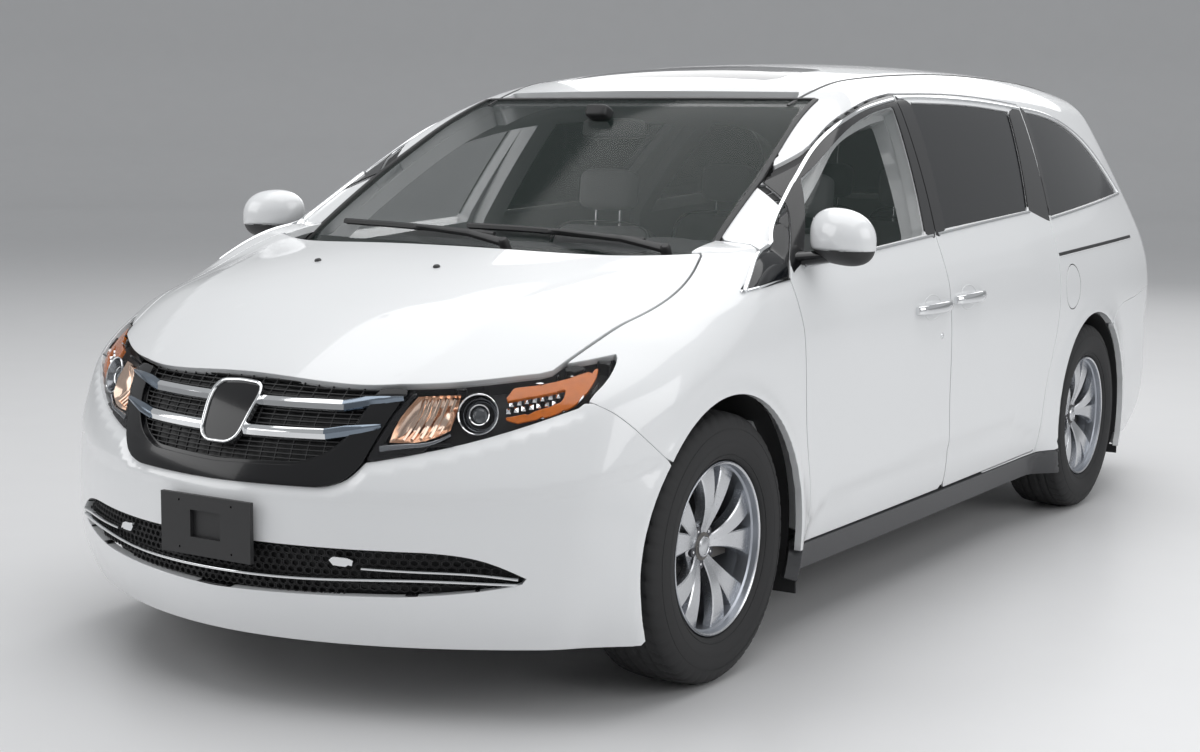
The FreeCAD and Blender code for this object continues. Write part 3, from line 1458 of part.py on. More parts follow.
def seat(profile, x0, x1, rest):
    """Cushion, back and plinth from a side profile, with rounded edges, and headrests."""
    body = extruded(profile, x0, x1)
    heads = []
    for centre in rest:
        low, high = centre - size("headrest_width") / 2, centre + size("headrest_width") / 2
        heads.append(extruded(headrest_profile(profile), low, high))
    return fused(body, *heads)


def headrest_profile(profile):
    """Headrest over the top of a seat back, whose top edge is the profile's third and fourth corners."""
    (y0, z0), (y1, z1) = profile[2], profile[3]
    rise = 0.094
    lean = 0.008
    return [(y0, z0 - rise / 9), (y0 + lean, z0 + rise), (y1 + lean, z1 + rise), (y1, z1 - rise / 9)]


front_seat_shares = [
    (1.3367, 0.3454), (1.4733, 0.3224), (1.52, 0.6822), (1.5533, 0.6822), (1.5333, 0.2994), (1.52, 0.2879), (1.4933, 0.1579),
    (1.3733, 0.1579), (1.3633, 0.2763), (1.3333, 0.2994),
]
middle_seat_shares = [
    (1.6433, 0.3685), (1.77, 0.3454), (1.8133, 0.6851), (1.8433, 0.6851), (1.8267, 0.3224), (1.8133, 0.3109), (1.79, 0.1579),
    (1.6733, 0.1579), (1.6667, 0.2994), (1.64, 0.3224),
]
bench_shares = [
    (1.9633, 0.3972), (2.2036, 0.3742), (2.3176, 0.6851), (2.3827, 0.6851), (2.342, 0.3454), (2.3094, 0.3339), (2.2769, 0.2385),
    (1.9933, 0.2385), (1.9867, 0.3224), (1.96, 0.3512),
]
spacing = size("seat_spacing")
seat_half = size("seat_width") / 2
front_seat = seat(front_seat_shares, spacing - seat_half, spacing + seat_half, [spacing])
middle_seat = seat(middle_seat_shares, spacing - seat_half, spacing + seat_half, [spacing])
bench_x = size("bench_half_width")
keep("front_seats", Part.makeCompound(both(front_seat)))
keep("middle_seats", Part.makeCompound(both(middle_seat)))
keep("rear_bench", seat(bench_shares, -bench_x, bench_x, [-spacing, 0, spacing]))

# Plate bracket, mirrors and wipers

plate_y = station(0)
plate_back = plate_y + size("plate_thickness")
plate_z = height(0.2694)
plate_half = size("plate_width") / 2
plate = block(-plate_half, plate_half, plate_y, plate_back,
              plate_z - size("plate_height") / 2, plate_z + size("plate_height") / 2)
mount_pad = block(-plate_half / 2, plate_half / 2, plate_back, plate_back + 2 * size("bumper_thickness"),
                  plate_z - size("plate_height") / 3, plate_z + size("plate_height") / 2.5)
bracket = fused(plate, mount_pad)
window = block(-plate_half / 3, plate_half / 3, plate_y - overrun, plate_back,
               plate_z - size("plate_height") / 5, plate_z + size("plate_height") / 4)
bracket = bracket.cut(front_patch.slab(-glass_gap, 4 * overrun)).cut(window)
for dx in (-1, 1):
    for dz in (-1, 1):
        at = Vector(dx * size("plate_hole_spacing") / 2, plate_y - overrun, plate_z + dz * size("plate_hole_rise") / 2)
        bracket = bracket.cut(Part.makeCylinder(size("plate_hole_radius"), 4 * overrun, at, Vector(0, 1, 0)))
bracket = largest(bracket)
keep("plate_bracket", bracket)

mirror_centre = Vector(breadth(1.0557), station(1.1667), height(0.6793))


def door_mirror():
    """Housing of rings along its depth, flat on the glass side, on a foot that meets the door skin."""
    width, depth, tall = size("mirror_width"), size("mirror_depth"), size("mirror_height")
    rings = []
    for share in mirror_ring_shares:
        reach = math.sqrt(1 - share**2) / 2
        turns = [math.radians(turn) for turn in evenly(0, 337.5, 16)]
        outline = Part.BSplineCurve()
        outline.interpolate([
            Vector(reach * width * math.cos(turn), share * depth / 2, reach * tall * math.sin(turn)) for turn in turns
        ], PeriodicFlag=True)
        rings.append(Part.Wire([outline.toShape()]))
    housing = Part.makeLoft(rings, True, False)
    housing.translate(mirror_centre)
    foot = block(
        mirror_centre.x - width, mirror_centre.x - width / 8, mirror_centre.y - depth / 4, mirror_centre.y + depth / 6,
        mirror_centre.z - tall / 2.2, mirror_centre.z - tall / 6,
    )
    return largest(fused(housing, foot).cut(side_patch.slab(-glass_gap, 4 * overrun)))


mirror_ring_shares = [-0.985, -0.93, -0.8, -0.6, -0.35, -0.1, 0.15, 0.4]
mirror_left = door_mirror()
keep("mirror_left", mirror_left)
keep("mirror_right", mirrored(mirror_left))

inner_mirror_centre = Vector(0, station(1.3283), height(0.8509))
inner_mirror = block(
    -size("inner_mirror_width") / 2, size("inner_mirror_width") / 2,
    inner_mirror_centre.y - size("inner_mirror_depth") / 2, inner_mirror_centre.y + size("inner_mirror_depth") / 2,
    inner_mirror_centre.z - size("inner_mirror_height") / 2, inner_mirror_centre.z + size("inner_mirror_height") / 2,
)
stem = rod(inner_mirror_centre, inner_mirror_centre + Vector(0, 0, 3 * overrun), size("steering_rim_radius"))
stem = stem.cut(glass_patch.slab(-4 * overrun, size("windshield_thickness") + glass_gap))
stem = sorted(stem.Solids, key=lambda solid: solid.BoundBox.ZMin)[0]
keep("inner_mirror", fused(inner_mirror, stem))

wiper_outlines = [
    end_outline([(0.5964, 0.6408), (0.5666, 0.6408)], [(0.5666, 0.6408), (0.0596, 0.6667)], [(0.0596, 0.6667), (0.0596, 0.6747)],
                [(0.0596, 0.6747), (0.5964, 0.6528)], [(0.5964, 0.6528), (0.5964, 0.6408)]),
    end_outline([(0.0298, 0.6408), (0, 0.6408)], [(0, 0.6408), (-0.497, 0.6621)], [(-0.497, 0.6621), (-0.497, 0.6701)],
                [(-0.497, 0.6701), (0.0298, 0.6528)], [(0.0298, 0.6528), (0.0298, 0.6408)]),
]
wiper_skin = glass_patch.slab(-size("wiper_width"), -glass_gap)
wipers = [wiper_skin.common(outline.from_front()) for outline in wiper_outlines]
keep("wipers", Part.makeCompound(wipers))
document.recompute()
faults = []
for item in document.Objects:
    if "Invalid" in item.State or "Error" in item.State:
        faults.append(item.Label)
for name, item in pieces.items():
    shape = item.Shape
    if shape.isNull() or not shape.isValid() or not shape.Solids:
        faults.append(name)
if faults:
    raise SystemExit("faulty pieces: " + ", ".join(faults))

os.makedirs("parts", exist_ok=True)
for name, item in pieces.items():
    item.Shape.exportStep("parts/" + name + ".step")
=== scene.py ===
"""A white minivan in a pale studio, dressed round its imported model.

Lengths are in metres, and outlines in millimetres. In every table here Y is measured from the front axle
towards the tail, X is the vehicle's left and Z is up; place() turns these into the frame's own Y.
"""

import copy
import json
import math

import bpy
import numpy as np
from mathutils import Matrix, Vector

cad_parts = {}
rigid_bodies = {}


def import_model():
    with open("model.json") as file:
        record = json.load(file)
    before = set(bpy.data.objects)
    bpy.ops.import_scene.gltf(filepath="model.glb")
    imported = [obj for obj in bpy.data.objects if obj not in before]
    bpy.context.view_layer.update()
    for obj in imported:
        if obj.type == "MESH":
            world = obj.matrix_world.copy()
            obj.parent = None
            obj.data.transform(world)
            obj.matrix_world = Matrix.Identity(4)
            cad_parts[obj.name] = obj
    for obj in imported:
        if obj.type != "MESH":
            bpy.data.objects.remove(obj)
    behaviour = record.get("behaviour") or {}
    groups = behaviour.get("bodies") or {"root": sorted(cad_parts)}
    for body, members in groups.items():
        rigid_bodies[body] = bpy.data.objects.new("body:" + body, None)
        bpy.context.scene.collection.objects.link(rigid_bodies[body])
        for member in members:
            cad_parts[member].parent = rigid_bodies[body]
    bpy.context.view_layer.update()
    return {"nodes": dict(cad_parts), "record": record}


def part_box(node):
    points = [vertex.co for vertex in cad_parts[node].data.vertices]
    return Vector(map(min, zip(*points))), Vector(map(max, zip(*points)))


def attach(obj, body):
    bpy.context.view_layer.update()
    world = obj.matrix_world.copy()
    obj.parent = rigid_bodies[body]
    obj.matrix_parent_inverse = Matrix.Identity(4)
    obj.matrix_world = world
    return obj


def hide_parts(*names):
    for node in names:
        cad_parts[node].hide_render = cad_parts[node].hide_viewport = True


for leftover in list(bpy.data.objects):
    bpy.data.objects.remove(leftover)
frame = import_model()

tyre_low, tyre_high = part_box("tyre_front_left")
rear_low, rear_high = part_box("tyre_rear_left")
AXLE_Y = (tyre_low.y + tyre_high.y) / 2
WHEELBASE = (rear_low.y + rear_high.y) / 2 - AXLE_Y
WHEEL_X = (tyre_low.x + tyre_high.x) / 2
TYRE_RADIUS = (tyre_high.z - tyre_low.z) / 2
BODY = "body"

# Curves and the body's skin


def spline(table):
    """Natural cubic curve through (place, value) pairs, straight beyond its ends."""
    x = np.array([row[0] for row in table], float)
    v = np.array([row[1] for row in table], float)
    count = len(x)
    step = np.diff(x)
    slope = np.diff(v) / step
    system = np.eye(count)
    right = np.zeros(count)
    for k in range(1, count - 1):
        system[k, k - 1:k + 2] = step[k - 1], 2 * (step[k - 1] + step[k]), step[k]
        right[k] = 6 * (slope[k] - slope[k - 1])
    bend = np.linalg.solve(system, right)
    first = slope[0] - step[0] * bend[1] / 6
    last = slope[-1] + step[-1] * bend[-2] / 6

    def value_at(place):
        place = np.asarray(place, float)
        k = np.clip(np.searchsorted(x, place) - 1, 0, count - 2)
        run = place - x[k]
        here = slope[k] - step[k] * (2 * bend[k] + bend[k + 1]) / 6
        inside = v[k] + run * (here + run * (bend[k] / 2 + run * (bend[k + 1] - bend[k]) / (6 * step[k])))
        before = v[0] + first * (place - x[0])
        after = v[-1] + last * (place - x[-1])
        return np.where(place < x[0], before, np.where(place > x[-1], after, inside))

    return value_at


def ease(fraction):
    fraction = np.clip(fraction, 0, 1)
    return fraction * fraction * (3 - 2 * fraction)


side_width = spline([
    (0.2, 0.925), (0.29, 0.962), (0.4, 0.985), (0.56, 0.99), (0.75, 1.001), (0.9, 1.003),
    (1.0, 0.99), (1.08, 0.968), (1.15, 0.942), (1.3, 0.88), (1.45, 0.808), (1.6, 0.722),
    (1.7, 0.65),
])
low_taper = spline([
    (-0.925, 0.056), (-0.4, 0.016), (0.0, 0.008), (0.7, 0.002), (1.5, 0.0), (2.4, 0.002),
    (3.0, 0.008), (3.6, 0.028), (4.228, 0.075),
])
high_taper = spline([
    (-0.925, 0.06), (0.0, 0.03), (0.7, 0.006), (1.5, 0.0), (2.3, 0.002), (3.0, 0.016),
    (3.6, 0.055), (4.228, 0.125),
])
nose_line = spline([
    (0.18, -0.85), (0.26, -0.889), (0.4, -0.909), (0.5, -0.911), (0.6, -0.9), (0.7, -0.866),
    (0.82, -0.8), (0.9, -0.72),
])
hood_line = spline([
    (-0.925, 0.7), (-0.8, 0.838), (-0.65, 0.93), (-0.45, 1.023), (-0.246, 1.092), (0.0, 1.14),
    (0.18, 1.16), (0.5, 1.18),
])
hood_crown = spline([
    (-0.925, 0.06), (-0.65, 0.1), (-0.35, 0.116), (0.0, 0.09), (0.22, 0.032), (0.6, 0.02),
])
screen_line = spline([
    (1.05, 0.09), (1.15, 0.235), (1.3, 0.49), (1.45, 0.77), (1.56, 0.99), (1.64, 1.18),
])
roof_line = spline([
    (0.9, 1.585), (1.1, 1.632), (1.5, 1.69), (2.0, 1.726), (2.5, 1.737), (3.0, 1.729),
    (3.5, 1.7), (4.0, 1.645),
])
tail_line = spline([
    (0.18, 4.15), (0.3, 4.203), (0.45, 4.2243), (0.6, 4.218), (0.68, 4.193), (0.8, 4.19),
    (1.0, 4.15), (1.2, 4.085), (1.4, 4.0), (1.6, 3.9), (1.7, 3.845),
])
SCREEN_FOOT = 1.05
FLARE_X = 1.003
ARCH_RADIUS = TYRE_RADIUS + 0.0465


def side_x(y, z):
    """Half width of the body, with its flared wheel arches."""
    upper = ease((z - 0.9) / 0.5)
    width = side_width(z) - low_taper(y) * (1 - upper) - high_taper(y) * upper
    flare = np.maximum(width, FLARE_X - 0.6 * low_taper(y))
    for axle in (0, WHEELBASE):
        away = np.hypot(y - axle, z - TYRE_RADIUS)
        near = ease((1.46 * TYRE_RADIUS - away) / (0.325 * TYRE_RADIUS)) * (z < 0.9)
        width = width + (flare - width) * near
    return width


def rounded_max(a, b, radius):
    """The larger of two fields, rounded where they meet."""
    total = np.maximum(a + radius, 0) ** 2.2 + np.maximum(b + radius, 0) ** 2.2
    blend = np.maximum(total, 1e-12) ** (1 / 2.2) - radius
    return np.where(a < -radius, np.where(b < -radius, np.maximum(a, b), b), np.where(b < -radius, a, blend))


def tail_field(x, y, z):
    return 0.9 * (y - tail_line(z) + 0.17 * (x / 0.8) ** 2.6)


def lower_field(p):
    x, y, z = np.abs(p[..., 0]), p[..., 1], p[..., 2]
    nose = 0.85 * (nose_line(z) + 0.235 * (x / 0.7) ** 1.95 - y)
    walls = rounded_max(x - side_x(y, z), nose, 0.118)
    walls = rounded_max(walls, tail_field(x, y, z), 0.17)
    hood = 0.95 * (z - hood_line(y) + hood_crown(y) * (x / 0.8) ** 2.5)
    return rounded_max(walls, hood, 0.095)


def upper_field(p):
    x, y, z = np.abs(p[..., 0]), p[..., 1], p[..., 2]
    screen = 0.47 * (screen_line(np.maximum(z, SCREEN_FOOT)) + 0.115 * (x / 0.7) ** 2 - y)
    roof = z - roof_line(y) + 0.055 * (x / 0.7) ** 2.2
    upper = rounded_max(0.92 * (x - side_x(y, z)), screen, 0.06)
    upper = rounded_max(upper, tail_field(x, y, z), 0.12)
    return rounded_max(upper, roof, 0.085)


def skin_field(p):
    """Below zero inside the body and above zero outside it."""
    return np.minimum(lower_field(p), upper_field(p))


MARKS = 20
HALVINGS = 20


def hit(field, start, heading, reach):
    """Where rays from inside the body leave it."""
    low = np.zeros(start.shape[:-1])
    high = np.full(start.shape[:-1], reach)
    found = np.zeros(start.shape[:-1], bool)
    for mark in range(1, MARKS + 1):
        distance = reach * mark / MARKS
        outside = field(start + heading * distance) > 0
        high = np.where(outside & ~found, distance, high)
        found |= outside
        low = np.where(found, low, distance)
    for _ in range(HALVINGS):
        middle = (low + high) / 2
        outside = field(start + heading * middle[..., None]) > 0
        high = np.where(outside, middle, high)
        low = np.where(outside, low, middle)
    return start + heading * ((low + high) / 2)[..., None]


STEP = 0.002


def differences(function, points):
    """How much a function of places changes over twice STEP along each axis."""
    return np.stack([function(points + STEP * axis) - function(points - STEP * axis) for axis in np.eye(3)], -1)


def normals_of(field, points):
    """Outward unit directions of a field."""
    slope = differences(field, points)
    return slope / np.linalg.norm(slope, axis=-1, keepdims=True)


def away_from(points, line, first, second):
    """Signed distance from a line of places seen along one axis, and how far inside its ends."""
    line = np.array(line, float)
    a, b = line[:-1], line[1:]
    edge = b - a
    length = np.linalg.norm(edge, axis=1)
    p = np.stack([points[..., first], points[..., second]], -1)[..., None, :]
    along = ((p - a) * edge).sum(-1) / length ** 2
    held = np.clip(along, 0, 1)
    gap = p - a - edge * held[..., None]
    distance = np.linalg.norm(gap, axis=-1)
    nearest = distance.argmin(-1)[..., None]
    pick = np.take_along_axis
    side = np.sign(pick(edge[:, 0] * gap[..., 1] - edge[:, 1] * gap[..., 0], nearest, -1)[..., 0])
    distance = pick(distance, nearest, -1)[..., 0]
    places = np.concatenate([[0], np.cumsum(length)])
    run = places[nearest[..., 0]] + pick(held, nearest, -1)[..., 0] * length[nearest[..., 0]]
    end = np.minimum(run, places[-1] - run)
    return distance * np.where(side == 0, 1, side), end


def ridge(points, line, first, second, height, width, fade=0.12, crest=0.005):
    """A soft crease along a line, fading out at both ends."""
    distance, end = away_from(points, line, first, second)
    shape = np.exp(-(np.sqrt(distance ** 2 + crest ** 2) - crest) / width)
    return height * shape * ease(end / fade)


def fall(height, across, line, depth, width):
    """A step down below a line given as height over another axis."""
    below = np.interp(across, [row[0] for row in line], [row[1] for row in line]) - height
    return -depth * ease(below / width + 0.5) * np.exp(-np.maximum(below, 0) / 0.13)


HOOD_RIDGE = [(0.33, -0.74), (0.43, -0.68), (0.49, -0.56), (0.551, -0.338), (0.64, -0.06),
              (0.715, 0.16)]
FENDER_CREASE = [(-0.331, 0.921), (-0.291, 0.928), (-0.1, 0.972), (0.101, 1.014), (0.26, 1.04)]
SHOULDER = [(0.15, 0.905), (0.407, 0.922), (1.161, 0.968), (1.9, 1.0), (2.52, 1.015)]
LEDGE = [(0.49, 0.335), (0.633, 0.408), (1.3, 0.436), (2.146, 0.446), (2.4, 0.372)]
BUMPER_CREASE = [(0.0, 0.562), (0.313, 0.562), (0.579, 0.567), (0.73, 0.578), (0.844, 0.596),
                 (0.95, 0.632), (0.98, 0.655)]


def relief(points):
    """Height of the pressed lines over the plain skin."""
    p = points.copy()
    p[..., 0] = np.abs(p[..., 0])
    x, y, z = p[..., 0], p[..., 1], p[..., 2]
    total = ridge(p, HOOD_RIDGE, 0, 1, 0.0065, 0.06, 0.22) * (z > 0.8)
    total = total + ridge(p, FENDER_CREASE, 1, 2, 0.004, 0.03) * (x > 0.72)
    side = ease((x - 0.8) / 0.06)
    total = total + ridge(p, SHOULDER, 1, 2, 0.004, 0.055, 0.35, 0.012) * side
    total = total + fall(z, y, LEDGE, 0.0085, 0.06) * side * ease((y - 0.42) / 0.2) * ease((2.5 - y) / 0.2)
    for axle in (0, WHEELBASE):
        away = np.hypot(y - axle, z - TYRE_RADIUS) - ARCH_RADIUS
        total = total + 0.0045 * np.exp(-((away - 0.006) / 0.024) ** 2) * side * (away > -0.03)
    front = ease((-0.3 - y) / 0.1)
    total = total + fall(z, x, BUMPER_CREASE, 0.007, 0.04) * front
    return total


def raised(points, normals):
    """Skin points lifted by the relief, with their directions turned to suit."""
    lift = relief(points)
    slope = differences(relief, points)
    slope /= 2 * STEP
    slope -= normals * (slope * normals).sum(-1, keepdims=True)
    turned_normals = normals - slope
    turned_normals /= np.linalg.norm(turned_normals, axis=-1, keepdims=True)
    return points + normals * lift[..., None], turned_normals


class Grid:
    """A dense sheet of skin points with their outward directions."""

    def __init__(self, start, heading, reach, field=skin_field):
        self.points = hit(field, start, heading, reach)
        self.points, self.normals = raised(self.points, normals_of(field, self.points))
        rows, columns = self.points.shape[:2]
        index = np.arange(rows * columns).reshape(rows, columns)
        a, b, c, d = index[:-1, :-1], index[1:, :-1], index[1:, 1:], index[:-1, 1:]
        self.triangles = np.concatenate([
            np.stack([a, b, c], -1).reshape(-1, 3), np.stack([a, c, d], -1).reshape(-1, 3),
        ])
        self.points = self.points.reshape(-1, 3)
        self.normals = self.normals.reshape(-1, 3)
        p = self.points[self.triangles]
        facing = np.cross(p[:, 1] - p[:, 0], p[:, 2] - p[:, 0])
        if (facing * self.normals[self.triangles[:, 0]]).sum() < 0:
            self.triangles = self.triangles[:, ::-1]


def spread(first, last, radius, spacing):
    """Angles between two, given in degrees, whose rays lie a spacing apart at a radius."""
    return np.radians(np.linspace(first, last, int(math.radians(last - first) * radius / spacing) + 2))


def fan_cross(y0, y1, centre, a0, a1, spacing=0.0225, reach=1.2):
    """Rays in cross planes, fanned over the left side."""
    ys = np.linspace(y0, y1, int((y1 - y0) / spacing) + 2)
    angles = spread(a0, a1, 0.75, spacing)
    start = np.zeros((len(ys), len(angles), 3))
    start[..., 0], start[..., 1], start[..., 2] = centre[0], ys[:, None], centre[1]
    heading = np.zeros_like(start)
    heading[..., 0], heading[..., 2] = np.cos(angles), np.sin(angles)
    return start, heading, reach


def fan_level(z0, z1, centre_y, a0, a1, spacing=0.0165, reach=1.9):
    """Rays in level planes, fanned about an upright line."""
    zs = np.linspace(z0, z1, int((z1 - z0) / spacing) + 2)
    angles = spread(a0, a1, 0.9, spacing)
    start = np.zeros((len(zs), len(angles), 3))
    start[..., 1], start[..., 2] = centre_y, zs[:, None]
    heading = np.zeros_like(start)
    heading[..., 0], heading[..., 1] = np.cos(angles), np.sin(angles)
    return start, heading, reach


def fan_length(width, centre, a0, a1, spacing, radius, reach=3.2):
    """Rays in lengthwise planes, fanned from a line across the body."""
    angles = spread(a0, a1, radius, spacing)
    xs = np.linspace(-1, 1, int(2 * max(width) / spacing) + 2)
    widths = np.linspace(width[0], width[1], len(angles))
    start = np.zeros((len(angles), len(xs), 3))
    start[..., 0] = widths[:, None] * xs
    start[..., 1], start[..., 2] = centre
    heading = np.zeros_like(start)
    heading[..., 1], heading[..., 2] = np.cos(angles)[:, None], np.sin(angles)[:, None]
    return start, heading, reach


def rays_up(xs, y_low, y_high, z, spacing, reach):
    """Upward rays between two edges given as functions of X."""
    along = np.linspace(0, 1, int(1.0 / spacing))
    start = np.zeros((len(along), len(xs), 3))
    low, high = y_low(np.abs(xs)), y_high(np.abs(xs))
    start[..., 0] = xs
    start[..., 1] = low + (high - low) * along[:, None]
    start[..., 2] = z
    heading = np.zeros_like(start)
    heading[..., 2] = 1
    return start, heading, reach


# Outlines and regions


def run_points(points, spacing):
    """A run as close points: a smooth curve through three or more, straight through two."""
    lengths = np.linalg.norm(np.diff(points, axis=0), axis=1)
    places = np.concatenate([[0], np.cumsum(lengths)])
    count = max(2, int(places[-1] / spacing) + 1)
    at = np.linspace(0, places[-1], count)
    if len(points) == 2:
        if spacing > FINE_RUN:
            return points
        return np.stack([np.interp(at, places, points[:, k]) for k in range(2)], -1)
    curves = [spline(list(zip(places, points[:, k]))) for k in range(2)]
    return np.stack([curve(at) for curve in curves], -1)


COARSE_RUN = 0.024
FINE_RUN = 0.006


def closed_curve(runs, soften):
    """The points, in metres, of runs in millimetres that meet at corners."""
    points = np.concatenate([
        run_points(np.array(run, float) / 1000, FINE_RUN if soften else COARSE_RUN)[:-1] for run in runs
    ])
    for _ in range(int((soften / 6) ** 2)):
        points = points * 0.5 + (np.roll(points, 1, 0) + np.roll(points, -1, 0)) * 0.25
    return points


def linked(first, runs):
    """Runs that each begin where the one before ends."""
    chain = [list(first)]
    for run in runs:
        chain.append([chain[-1][-1]] + list(run))
    return chain


def outline(first, *runs, soften=0):
    """Closed outline of linked runs: one more place is a straight step, several are a smooth curve.

    soften rounds the corners to about that radius.
    """
    chain = linked(first, runs)
    if chain[-1][-1] != first[0]:
        chain.append([chain[-1][-1], first[0]])
    return closed_curve(chain, soften)


def mirrored(first, *runs, soften=0):
    """Closed outline of the left half and its mirror image."""
    chain = linked(first, runs)
    return closed_curve(chain + [[(-a, b) for a, b in reversed(run)] for run in reversed(chain)], soften)


known_distances = {}


def inside(shape, points, first, second):
    """Distance inside a closed outline seen along one axis, below zero outside it."""
    key = (id(shape), id(points), first, second)
    if key not in known_distances:
        known_distances[key] = (distance_inside(shape, points[:, first], points[:, second]), shape, points)
    return known_distances[key][0]


OUTLINE_MARGIN = 0.08
POINTS_AT_ONCE = 3000


def distance_inside(shape, u, v):
    result = np.full(u.shape, -OUTLINE_MARGIN)
    low, high = shape.min(0) - OUTLINE_MARGIN, shape.max(0) + OUTLINE_MARGIN
    near = np.nonzero((u > low[0]) & (u < high[0]) & (v > low[1]) & (v < high[1]))[0]
    a, b = shape, np.roll(shape, -1, 0)
    edge = b - a
    length2 = np.maximum((edge ** 2).sum(1), 1e-14)
    for part in np.array_split(near, max(1, len(near) // POINTS_AT_ONCE)):
        p = np.stack([u[part], v[part]], -1)[:, None, :]
        along = np.clip(((p - a) * edge).sum(-1) / length2, 0, 1)
        gap = p - a - edge * along[..., None]
        distance = np.sqrt((gap ** 2).sum(-1).min(1))
        above = (a[:, 1] > p[..., 1]) != (b[:, 1] > p[..., 1])
        rise = np.where(np.abs(edge[:, 1]) < 1e-12, 1e-12, edge[:, 1])
        crossing = a[:, 0] + (p[..., 1] - a[:, 1]) * edge[:, 0] / rise
        odd = (above & (p[..., 0] < crossing)).sum(1) % 2
        result[part] = np.where(odd == 1, distance, -distance)
    return result


def from_side(shape):
    return lambda p: inside(shape, p, 1, 2)


def from_front(shape):
    return lambda p: inside(shape, p, 0, 2)


def from_above(shape):
    return lambda p: inside(shape, p, 0, 1)


def grown(region, distance):
    return lambda p: region(p) + distance


def outside(region):
    return lambda p: -region(p)


def clear_of(region, gap):
    """Where a region is further away than a gap."""
    return lambda p: -(region(p) + gap)


def both(*regions):
    """Where all regions overlap."""
    return lambda p: np.minimum.reduce([region(p) for region in regions])


def either(*regions):
    return lambda p: np.maximum.reduce([region(p) for region in regions])


def above(height):
    return lambda p: p[:, 2] - height


def below(height):
    return lambda p: height - p[:, 2]


def behind(y):
    return lambda p: p[:, 1] - y


def ahead(y):
    return lambda p: y - p[:, 1]


def beyond(x):
    return lambda p: p[:, 0] - x


def arch(axle, radius):
    """Inside a wheel arch."""
    return lambda p: radius - np.hypot(p[:, 1] - axle, p[:, 2] - TYRE_RADIUS)


# Mesh making


def cut_sheet(grid, region, level):
    """The part of a grid where a region is above a level, as points, directions and triangles."""
    value = region(grid.points) - level
    keep = value > 0
    tri = grid.triangles
    count = keep[tri].sum(1)
    whole = tri[count == 3]
    points, normals = [grid.points], [grid.normals]
    edges = {}
    faces = [whole]
    extra = []

    def crossing(a, b):
        key = (a, b) if a < b else (b, a)
        if key not in edges:
            share = value[a] / (value[a] - value[b])
            edges[key] = len(grid.points) + len(extra)
            extra.append((grid.points[a] + (grid.points[b] - grid.points[a]) * share,
                          grid.normals[a] + (grid.normals[b] - grid.normals[a]) * share))
        return edges[key]

    partial = []
    edge_rows = (count == 1) | (count == 2)
    for row, kept in zip(tri[edge_rows], count[edge_rows]):
        a, b, c = (int(v) for v in row)
        if kept == 1:
            while not keep[a]:
                a, b, c = b, c, a
            partial.append((a, crossing(a, b), crossing(a, c)))
        else:
            while keep[a]:
                a, b, c = b, c, a
            ab, ac = crossing(a, b), crossing(a, c)
            partial.append((ab, b, c))
            partial.append((ab, c, ac))
    if extra:
        points.append(np.array([e[0] for e in extra]))
        normals.append(np.array([e[1] for e in extra]))
        faces.append(np.array(partial))
    points, normals, faces = np.concatenate(points), np.concatenate(normals), np.concatenate(faces)
    used = np.unique(faces)
    renumber = np.full(len(points), -1)
    renumber[used] = np.arange(len(used))
    normals = normals[used]
    normals /= np.linalg.norm(normals, axis=1, keepdims=True)
    return points[used], normals, renumber[faces]


def rim_of(points, normals, faces):
    """Boundary edges in order of the faces, and the outward direction at each boundary point."""
    edge = np.concatenate([faces[:, [0, 1]], faces[:, [1, 2]], faces[:, [2, 0]]])
    key = np.sort(edge, 1)
    code = key[:, 0].astype(np.int64) * len(points) + key[:, 1]
    _, first, counts = np.unique(code, return_index=True, return_counts=True)
    rim = edge[first[counts == 1]]
    run = points[rim[:, 1]] - points[rim[:, 0]]
    run /= np.maximum(np.linalg.norm(run, axis=1, keepdims=True), 1e-9)
    away = np.cross(run, normals[rim[:, 0]])
    total = np.zeros_like(points)
    np.add.at(total, rim[:, 0], away)
    np.add.at(total, rim[:, 1], away)
    length = np.linalg.norm(total, axis=1, keepdims=True)
    return rim, total / np.maximum(length, 1e-9)


def slab(grid, region, near, far, edge=0.0018, steps=3):
    """Closed plate between two depths under the skin, with a rounded outer edge."""
    points, normals, faces = cut_sheet(grid, region, edge)
    rim, away = rim_of(points, normals, faces)
    near = near(points[:, 2]) if callable(near) else np.full(len(points), near)
    far = far(points[:, 2]) if callable(far) else np.full(len(points), far)
    near, far = near[:, None], far[:, None]
    ids = np.unique(rim)
    row_of = np.full(len(points), -1)
    row_of[ids] = np.arange(len(ids))
    rows, row_normals = [], []
    for k in range(1, steps + 1):
        turn = math.pi / 2 * k / steps
        drop = near[ids] + edge * (1 - math.cos(turn))
        rows.append(points[ids] - normals[ids] * drop + away[ids] * edge * math.sin(turn))
        row_normals.append(normals[ids] * math.cos(turn) + away[ids] * math.sin(turn))
    rows.append(points[ids] - normals[ids] * (far[ids] - edge / 2) + away[ids] * edge)
    row_normals.append(away[ids])
    outer = points - normals * near
    inner = points - normals * far
    vertices = np.concatenate([outer] + rows + [inner])
    directions = np.concatenate([normals] + row_normals + [-normals])
    base = len(points)
    size = len(ids)
    a, b = rim[:, 0], rim[:, 1]
    chain_a = [a] + [base + k * size + row_of[a] for k in range(len(rows))]
    chain_b = [b] + [base + k * size + row_of[b] for k in range(len(rows))]
    last = base + len(rows) * size
    chain_a.append(last + a)
    chain_b.append(last + b)
    quads = np.concatenate([
        np.stack([chain_b[k], chain_a[k], chain_a[k + 1], chain_b[k + 1]], -1) for k in range(len(chain_a) - 1)
    ])
    triangles = np.concatenate([faces, faces[:, ::-1] + last])
    return vertices, directions, triangles, quads


